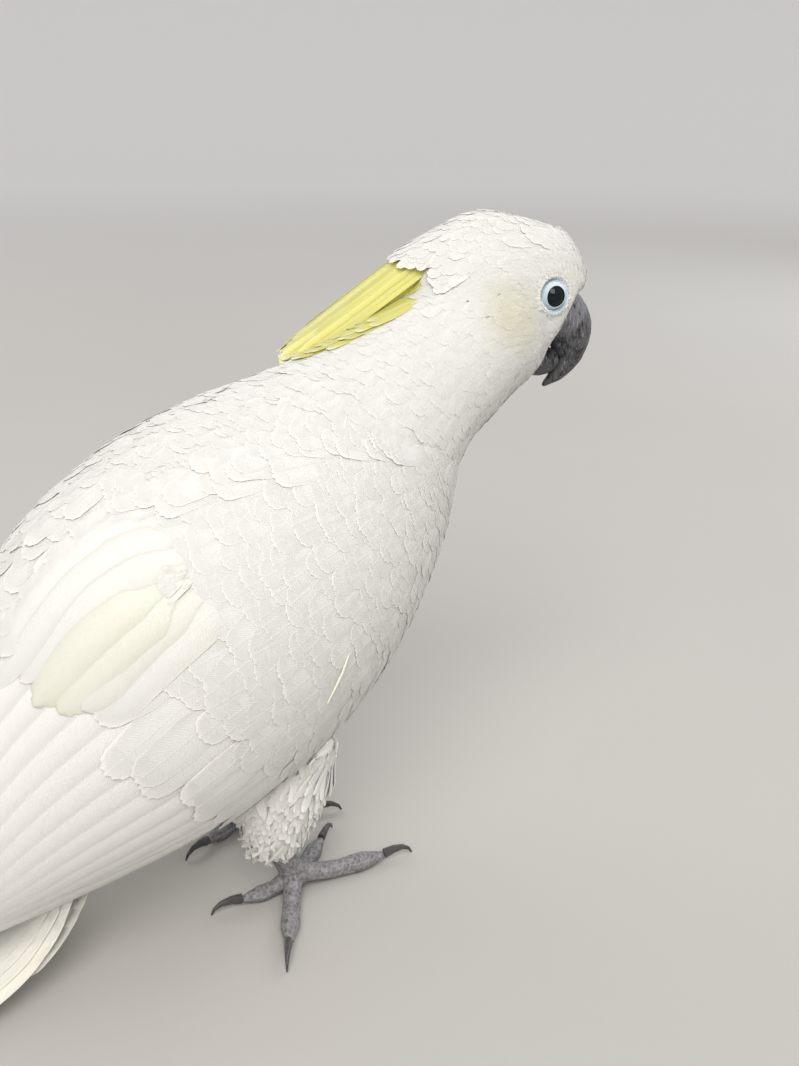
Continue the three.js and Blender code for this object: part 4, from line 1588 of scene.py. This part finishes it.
def crest_at(x, turn, share):
    """Places and outward directions on the crest's outline, in the head's frame. turn goes round
    from the bird's left over the top; share is the part of the way out from the middle."""
    x = np.atleast_1d(np.asarray(x, float))
    middle_z, wide, up, down = (np.interp(x, CREST_FINE[:, 0], CREST_FINE[:, k]) for k in range(1, 5))
    slope = np.interp(x, CREST_FINE[:, 0], np.gradient(CREST_FINE[:, 1], CREST_FINE[:, 0]))
    top = unit(np.column_stack([-slope, 0 * x, np.ones_like(x)]))
    turn = np.broadcast_to(np.asarray(turn, float), x.shape)
    tall = np.where(np.sin(turn) > 0, up, down)
    middle = np.column_stack([x, 0 * x, middle_z])
    side = np.array([0, 1.0, 0])
    p = middle + side * (wide * share * np.cos(turn))[:, None]
    p = p + top * (tall * share * np.sin(turn))[:, None]
    out = unit(side * (np.cos(turn) * tall)[:, None] + top * (np.sin(turn) * wide)[:, None])
    return p, out


def yellow_crest():
    """The long lemon plumes, in three layers from the inside out."""
    rng = np.random.default_rng(31)
    plumes = Plumes()
    t = quill_steps(PLUME_ROWS)
    for layer, (share, count, shift) in enumerate(PLUME_LAYERS):
        for k in range(count):
            turn = 2 * math.pi * (k + shift) / count + rng.normal(0, 0.05)
            start = rng.uniform(-40, -26)
            end = rng.uniform(-108, -97) if layer < 2 else rng.uniform(-107, -94)
            if math.sin(turn) < -0.2:
                end += PLUME_LOW_SHORTER
            split = parted(rng, 0.4, 0.55, 0.9, 0.5)
            half, tint, drift = rng.uniform(4.2, 5.4), rng.uniform(0.0, 0.16), rng.normal(0, 0.05)
            p, out = crest_at(start + (end - start) * t, turn + drift * t, share * (0.7 + 0.3 * t))
            plumes.add(head_point(p), out @ HEAD_TO_BODY.T, half * vane_width(t, 0.3, 0.35, 0.14), 0.6, 0.35,
                       [0.5 + 0.04 * math.cos(turn), 0.2 - 0.001 * start], tint=tint, split=split)
    return plumes.build("crest_plumes", crest_yellow)


FORECREST_END = -59.5


def crest_side(x, w):
    """Places over the crest. w runs from 1 at the bird's left edge over the top to -1, and past
    those edges down the side of the head."""
    over = np.maximum(np.abs(w) - 1, 0)
    p, _ = crest_at(x, math.pi / 2 - np.clip(w, -1, 1) * math.pi / 2, 1.12)
    return head_point(p + np.column_stack([0 * x, np.sign(w) * over * 30, -over * 22]))


def crest_sheet():
    """The surface that the forecrest lies on. Its front and its sides run out onto the skin."""
    x, w = np.meshgrid(np.linspace(20, -68, 70), np.linspace(-1.7, 1.7, 70), indexing="ij")
    points = crest_side(x.ravel(), w.ravel())
    fall = np.maximum(smoothstep(0.85, 1.35, np.abs(w)), smoothstep(-26, 10, x)).ravel()
    drape(points, x.shape, fall, 0.15, 10)
    obj = mesh_object("crest_ground", place(points), sheet_faces(*x.shape))
    remember_up(obj)
    print("crest_ground faces upwards:", normals_of(obj.data)[:, 2].mean() > 0)
    return obj


def fore_crest(sheet):
    """White feathers from the forehead, laid back over the yellow."""
    rng = np.random.default_rng(32)
    x, w = np.meshgrid(np.arange(12, -43, -2.8), np.linspace(-1.36, 1.36, 24), indexing="ij")
    w = w + (np.arange(len(x)) % 2)[:, None] * 0.06
    x, w = x.ravel() + rng.normal(0, 0.4, x.size), w.ravel() + rng.normal(0, 0.01, x.size)
    length = 15 + 9 * (12 - x) / 54
    edge = FORECREST_END + 8.5 * np.minimum(np.abs(w), 1) ** 2
    length = np.minimum(length, x - edge + rng.normal(0, 0.6, len(x)))
    x, w, length = (v[length > 9] for v in (x, w, length))
    back = crest_side(x - 1, w) - crest_side(x, w)
    at, normal = nearest_on(sheet, place(crest_side(x, w)))
    return plumage("forecrest", at, normal, length, 4.2 + 0.05 * length, 0.2, 0.05 * length, 0.1, 33,
                   curl=0.12, stray=0.08, way=back, surface=sheet, thickness=0.07)


def crest_core():
    """A slim yellow core that closes the space between the plumes."""
    x = np.linspace(-97, -20, 36)
    turns = np.arange(24) * 2 * math.pi / 24
    ring = np.stack([crest_at(x, turn, 0.58)[0] for turn in turns], axis=1)
    points, faces = tube(ring)
    obj = mesh_object("crest_core", place(head_point(points)), faces)
    obj.data.materials.append(crest_yellow)
    return obj


def crest_sides():
    """Yellow plumes that lie down the sides of the nape, under the edge of the crest."""
    rng = np.random.default_rng(34)
    x, w = np.meshgrid(np.arange(-54, -86, -4.0), np.linspace(0.8, 1.25, 7), indexing="ij")
    x = np.concatenate([x.ravel(), x.ravel()]) + rng.normal(0, 0.8, 2 * x.size)
    w = np.concatenate([w.ravel(), -w.ravel()]) + rng.normal(0, 0.015, len(x))
    back = crest_side(x - 1, w) - crest_side(x, w)
    at, normal = nearest_on(skin, place(crest_side(x, w)))
    length = np.minimum(26 + rng.normal(0, 1, len(x)), x + 106)
    return plumage("crest_sides", at, normal, length, np.full(len(x), 5.4), 0.9, np.full(len(x), 1.5), 0.3,
                   35, curl=0.2, stray=0.05, way=back, finish=crest_yellow, thickness=0.08)


piece(crest_core(), "crest", "crest")
piece(yellow_crest(), "crest")
piece(crest_sides(), "crest")
crest_ground = crest_sheet()
piece(fore_crest(crest_ground), "plumage")

# %% [markdown]
# ## The tail
#
# Twelve broad tail feathers lie fanned in thin layers, the middle pair on top, and rest on the
# floor. Coverts from the rump and from under it run out over their roots.

# %% Tail feathers and coverts
TAIL_PATH = np.array([[-92, 52], [-110, 14], [-140, 0.8], [-256, 0.8]], float)
TAIL_HALF_BASE, TAIL_HALF_TIP, TAIL_FEATHERS = 24, 46, 12
TAIL_LENGTH_DROP, TAIL_CORE_THICK = 0.1, 4.2
# Above (1) and below (-1) the tail: where each row of coverts starts and how far it reaches.
TAIL_COVERT_LAYERS = ((1, ((0.05, 0.37), (0.03, 0.27), (0.01, 0.18))),
                      (-1, ((0.07, 0.37), (0.05, 0.29), (0.03, 0.22), (0.01, 0.15))))


def tail_at(s, across, above):
    """A place on the tail: s from rump to tip, across -1 to 1, and a height above its middle."""
    s = np.asarray(s, float)[:, None]
    a, b, c, d = TAIL_PATH
    p = (1 - s) ** 3 * a + 3 * s * (1 - s) ** 2 * b + 3 * s * s * (1 - s) * c + s ** 3 * d
    step = 3 * (1 - s) ** 2 * (b - a) + 6 * s * (1 - s) * (c - b) + 3 * s * s * (d - c)
    step = step / np.linalg.norm(step, axis=1, keepdims=True)
    top = np.column_stack([step[:, 1], np.zeros(len(s)), -step[:, 0]])
    half = TAIL_HALF_BASE + (TAIL_HALF_TIP - TAIL_HALF_BASE) * s[:, 0] ** 0.8
    sag = (1 - s[:, 0]) * 8 * across ** 2
    flat = np.column_stack([p[:, 0], half * across, p[:, 1] - sag])
    return flat + top * np.asarray(above, float)[:, None], top


def tail_feathers():
    rng = np.random.default_rng(41)
    plumes = Plumes()
    for k in range(TAIL_FEATHERS):
        across = (2 * k + 1) / TAIL_FEATHERS - 1
        rank = 1 - abs(across)
        t = quill_steps(34)
        s = t * (1 - TAIL_LENGTH_DROP * across ** 2)
        above = 0.1 + 2.0 * rank * (0.4 + 0.6 * t) + 3.0 * (1 - t) ** 2
        line, out = tail_at(s, across * 0.9, above)
        half = 11.2 * vane_width(t, 0.45, 0.45, 0.11)
        plumes.add(line, unit(out + [0, 0.03 * across, 0]), half, 0.4, 0.4, [0.5 + 0.2 * across, 0.93],
                   tint=0.05 + 0.25 * abs(across) ** 4, split=parted(rng, 0.4, 0.6, 0.9, 0.35))
    return plumes.build("tail_feathers", feather_white)


def tail_coverts():
    rng = np.random.default_rng(42)
    plumes = Plumes()
    for face_side, layers in TAIL_COVERT_LAYERS:
        for row, (start, reach) in enumerate(layers):
            count = 11 - row
            for k in range(count):
                across = (2 * (k + 0.5) / count - 1) * 0.95
                t = quill_steps(16)
                s = start + reach * (1 - 0.15 * across ** 2) * t * rng.uniform(0.92, 1.05)
                above = face_side * (4.6 + 1.1 * row - (3.2 + 0.6 * row) * t) * (1 - 0.5 * across ** 2)
                line, out = tail_at(np.clip(s, 0, 1), across, above)
                plumes.add(line, out * face_side, 9 * vane_width(t, 0.4, 0.4, 0.2), 0.8, 0.3,
                           [0.5 + 0.2 * across, 0.9 - 0.02 * row], columns=5)
    return plumes.build("tail_coverts", feather_white)


def tail_core():
    """The fleshy root of the tail, which closes the space between the upper and lower coverts."""
    s = np.linspace(0, 0.36, 30)
    turns = np.arange(28) * 2 * math.pi / 28
    thick = TAIL_CORE_THICK * np.sqrt(1 - s / 0.37)
    ring = np.stack([tail_at(s, 0.98 * math.cos(a), thick * math.sin(a))[0] for a in turns], axis=1)
    points, faces = tube(ring)
    obj = mesh_object("tail_core", place(points), faces)
    obj.data.materials.append(skin_finish)
    return obj


piece(tail_core(), "plumage")
piece(tail_feathers(), "plumage", "tail")
piece(tail_coverts(), "plumage")

# %% [markdown]
# ## Feet and claws
#
# A parrot's toes, two ahead and two behind, are sheathed in small grey scales, larger along the
# top. The CAD feet are remeshed finely and smoothed, each toe is drawn in towards its claw, and a
# cell pattern is pressed into the mesh. The soles stay flat on the floor. The claws are smooth dark
# hooks.

# %% Feet and claws


def smooth_copy(name, node, grain, rounds):
    """A CAD node's shape, remeshed finely and smoothed."""
    obj = remeshed(join([node_copy(name, node, 0.0)], name), grain)
    set_points(obj.data, relax(points_of(obj.data), edges_of(obj.data), rounds))
    return obj


# Toes turn outwards from straight ahead by these degrees; lengths and radii in millimetres.
TOES = [(24, 44, 4.8), (-22, 33, 4.4), (138, 40, 4.6), (-160, 24, 4.2)]
# The middle of each foot, and how far the whole foot is turned.
SOLES = {"right": ((2, -29, 8), -16), "left": ((7, 30, 8), 0)}
SCALE_SIZE, GROOVE_DEPTH, FOOT_GRAIN, CLAW_GRAIN = 2.1, 0.36, 0.62, 0.34
SCALE_DARK, SCALE_LIGHT, GROOVE_DUST = (0.085, 0.085, 0.095), (0.21, 0.205, 0.215), (0.33, 0.32, 0.31)
CLAW_DARK, CLAW_WORN = (0.02, 0.019, 0.02), (0.10, 0.095, 0.095)


def taper_toes(obj, which):
    """Draws each toe in towards its claw."""
    sole, turn = SOLES[which]
    p = unplace(points_of(obj.data))
    for heading, length, radius in TOES:
        angle = math.radians(heading + turn) * SIDES[which]
        way = np.array([math.cos(angle), math.sin(angle), 0])
        off = p - np.array(sole, float)
        t = off @ way
        centre = np.array(sole, float) + np.outer(t, way)
        centre[:, 2] = radius * 0.78
        away = p - centre
        close = (np.linalg.norm(away, axis=1) < radius * 1.7) & (t > length * 0.5)
        shrink = 0.56 * smoothstep(length - 9, length + 1.5, t) * close
        bulge = 0.10 * np.exp(-((t - length * 0.72) / 4) ** 2) * close
        p += away * (bulge - shrink)[:, None]
        p += way * (1.1 * smoothstep(length - 7, length, t) * close)[:, None]
    p[:, 2] = np.maximum(p[:, 2], 0)
    set_points(obj.data, place(p))


def scale_press(obj, cell, depth):
    """Presses the grooves between scales into a mesh."""
    at, out = points_of(obj.data), normals_of(obj.data)
    press, tone = np.zeros(len(at)), np.zeros(len(at))
    for i, p in enumerate(unplace(at)):
        near, cells = noise.voronoi(Vector(p / [cell, cell * 1.25, cell * 0.9]))
        press[i] = math.exp(-((near[1] - near[0]) / 0.13) ** 2)
        tone[i] = noise.cell(cells[0] * 7.3)
    at = at + out * ((0.12 - press * depth) * MM)[:, None]
    at[:, 2] = np.maximum(at[:, 2], 0)
    set_points(obj.data, at)
    store(obj.data, "groove", press)
    store(obj.data, "tone", np.clip(tone * 0.5 + 0.5, 0, 1))


def foot_look(tree, where):
    groove, tone = tree.attribute("groove"), tree.attribute("tone")
    cloud = tree.noise(where, 160.0, 3.0)
    grey = tree.mix(tone * 0.6 + cloud * 0.4, SCALE_DARK, SCALE_LIGHT)
    grey = tree.mix(groove * 0.75, grey, GROOVE_DUST)
    return {"Base_Color": grey, "Roughness": 0.5 + cloud * 0.2,
            "Normal": tree.bump(tree.noise(where, 1500.0), 0.0001, 0.5)}


def claw_look(tree, where):
    streak = tree.noise(where, 420.0, 3.0)
    return {"Base_Color": tree.mix(streak, CLAW_DARK, CLAW_WORN),
            "Normal": tree.bump(streak, 0.0002, 0.4)}


foot_finish = material("grey_scales", foot_look)
claw_finish = material("dark_claw", claw_look, Roughness=0.32)
for which in SIDES:
    foot = smooth_copy(f"foot_skin_{which}", f"foot_{which}", FOOT_GRAIN, 4)
    taper_toes(foot, which)
    scale_press(foot, SCALE_SIZE, GROOVE_DEPTH)
    foot.data.materials.append(foot_finish)
    piece(foot, "foot", f"foot_{which}")
    for k in range(1, 5):
        claw = smooth_copy(f"claw_horn_{which}_{k}", f"claw_{which}_{k}", CLAW_GRAIN, 3)
        claw.data.materials.append(claw_finish)
        piece(claw, "claw", f"claw_{which}_{k}")

# %% [markdown]
# ## Scapulars and the ruffled tertials
#
# Where the wing meets the back, long soft scapulars lie over the joint and hide it. On the right
# wing a few inner feathers stand out of line: one broad, yellow-tinged lobe has turned up, with a
# crease above it and a tuft of loosened barbs at its root.

# %% Scapulars
SCAPULAR_ROWS, SCAPULARS_A_ROW, SCAPULAR_TOP = 27, 11, 1.46


def scapular_roots(which):
    side = SIDES[which]
    rng = np.random.default_rng(120 + side)
    spots = []
    for row in range(SCAPULAR_ROWS):
        s = 0.015 + 0.031 * row
        low = 0.80 + 0.05 * math.sin(row) + 0.12 * smoothstep(12, 18, row)
        for k in range(SCAPULARS_A_ROW):
            e = low + (SCAPULAR_TOP - low) * (k + 0.5 * (row % 2)) / SCAPULARS_A_ROW
            spots.append((s + rng.normal(0, 0.006), e + rng.normal(0, 0.02), 26 + 1.2 * row))
    s, e, length = np.array(spots).T
    return wing_roots(rng, side, s, e, length, breadth=0.46, map_v=0.5 + side * 0.1 * e, sway=0.1,
                      vary=0.1, sit=-0.2, rise=1.0, rise_range=(1.2, 1.7), curl=0.2, arch=0.2)


for which in SIDES:
    laid = lay(f"scapulars_{which}", scapular_roots(which), covert_vane, grounds[which], feather_white,
               COVERT_THICK)
    piece(laid, "plumage")

# %% The ruffled lobe
LOBE_TIP = (0.582, 0.53)
# Root and tip (s, e), half width, greatest lift, arch, tint, then what else differs.
LOBE_FEATHERS = [
    ((0.34, 0.36), (0.55, 0.30), 9, 1.1, 0.4, 0.06, {}),
    ((0.35, 0.42), (0.552, 0.37), 8, 1.5, 0.7, 0.18, {"bow": 0.02, "split": ((0.74, 0.3),)}),
    ((0.36, 0.44), (0.57, 0.43), 8.5, 2.1, 0.9, 0.30, {"bow": 0.03, "end": 0.6, "split": ((0.83, 0.3),)}),
    ((0.36, 0.50), LOBE_TIP, 8.5, 2.8, 1.1, 0.34,
     {"bow": 0.04, "end": 0.5, "split": ((0.66, 0.25), (0.88, 0.3))}),
    ((0.33, 0.56), (0.575, 0.66), 8.5, 2.7, 0.5, 0.08, {"bow": 0.06, "tilt": 0.6, "end": 0.5}),
    ((0.31, 0.66), (0.60, 0.76), 8.5, 2.3, 0.4, 0.04, {"bow": 0.05, "tilt": 0.4, "end": 0.5}),
    ((0.31, 0.76), (0.62, 0.86), 8.5, 1.8, 0.3, 0.0, {"bow": 0.04, "end": 0.5}),
]
LOBE_ROOT_LIFT, LOOSE_BARBS = -1.8, 46


def lobe_feather(plumes, root, tip, half, lift, arch, tint, bow=0.0, tilt=0.0, rows=26, columns=9, end=0.8,
                 split=()):
    """One feather from root to tip (s, e). It rises from lift[0] to lift[1] and sinks to a share
    of that, end, at its tip."""
    t = quill_steps(rows)
    s = root[0] + (tip[0] - root[0]) * t
    e = root[1] + (tip[1] - root[1]) * t + bow * np.sin(math.pi * t)
    line, out, _ = wing_frame(s, e, SIDES["right"])
    sink = 1 - (1 - end) * smoothstep(0.5, 1, t)
    height = lift[0] + (lift[1] - lift[0]) * smoothstep(0, 0.4, t) * sink
    plumes.add(line, out, half * vane_width(t, 0.3, 0.35, 0.2), arch, 0.22, [0.45, 0.42], tint=tint,
               ground=trees["right"], lift=height, tilt=tilt, columns=columns, split=split)


def ruffled_tertials():
    rng = np.random.default_rng(5)
    plumes = Plumes()
    for root, tip, half, lift, arch, tint, more in LOBE_FEATHERS:
        lobe_feather(plumes, root, tip, half, (LOBE_ROOT_LIFT, lift), arch, tint, **more)
    for _ in range(LOOSE_BARBS):
        turn = rng.uniform(-0.35, 0.6)
        root = (0.385 + rng.normal(0, 0.006), 0.53 + rng.normal(0, 0.03))
        reach = rng.uniform(0.03, 0.05)
        tip = (root[0] + reach * math.cos(turn), root[1] + reach * 2.0 * math.sin(turn))
        lobe_feather(plumes, root, tip, rng.uniform(0.8, 1.4), (-0.2, rng.uniform(1.4, 2.4)), 0.1,
                     rng.uniform(0.0, 0.16), rows=8, columns=3, end=0.9)
    # One yellow quill shows nearer the wrist.
    lobe_feather(plumes, (0.317, -0.19), (0.375, -0.335), 0.65, (0.5, 1.4), 0.3, 0.45, rows=14, columns=5)
    return plumes.build("ruffled_tertials", feather_white)


piece(ruffled_tertials(), "plumage")

# %% [markdown]
# ## Finish
#
# The single vanes, and the sheets over the wings and the crest, only served to lay feathers, so
# they are taken away.

# %% Clear up
for helper in (contour_vane, face_vane, covert_vane, crest_ground, *grounds.values()):
    bpy.data.objects.remove(helper, do_unlink=True)
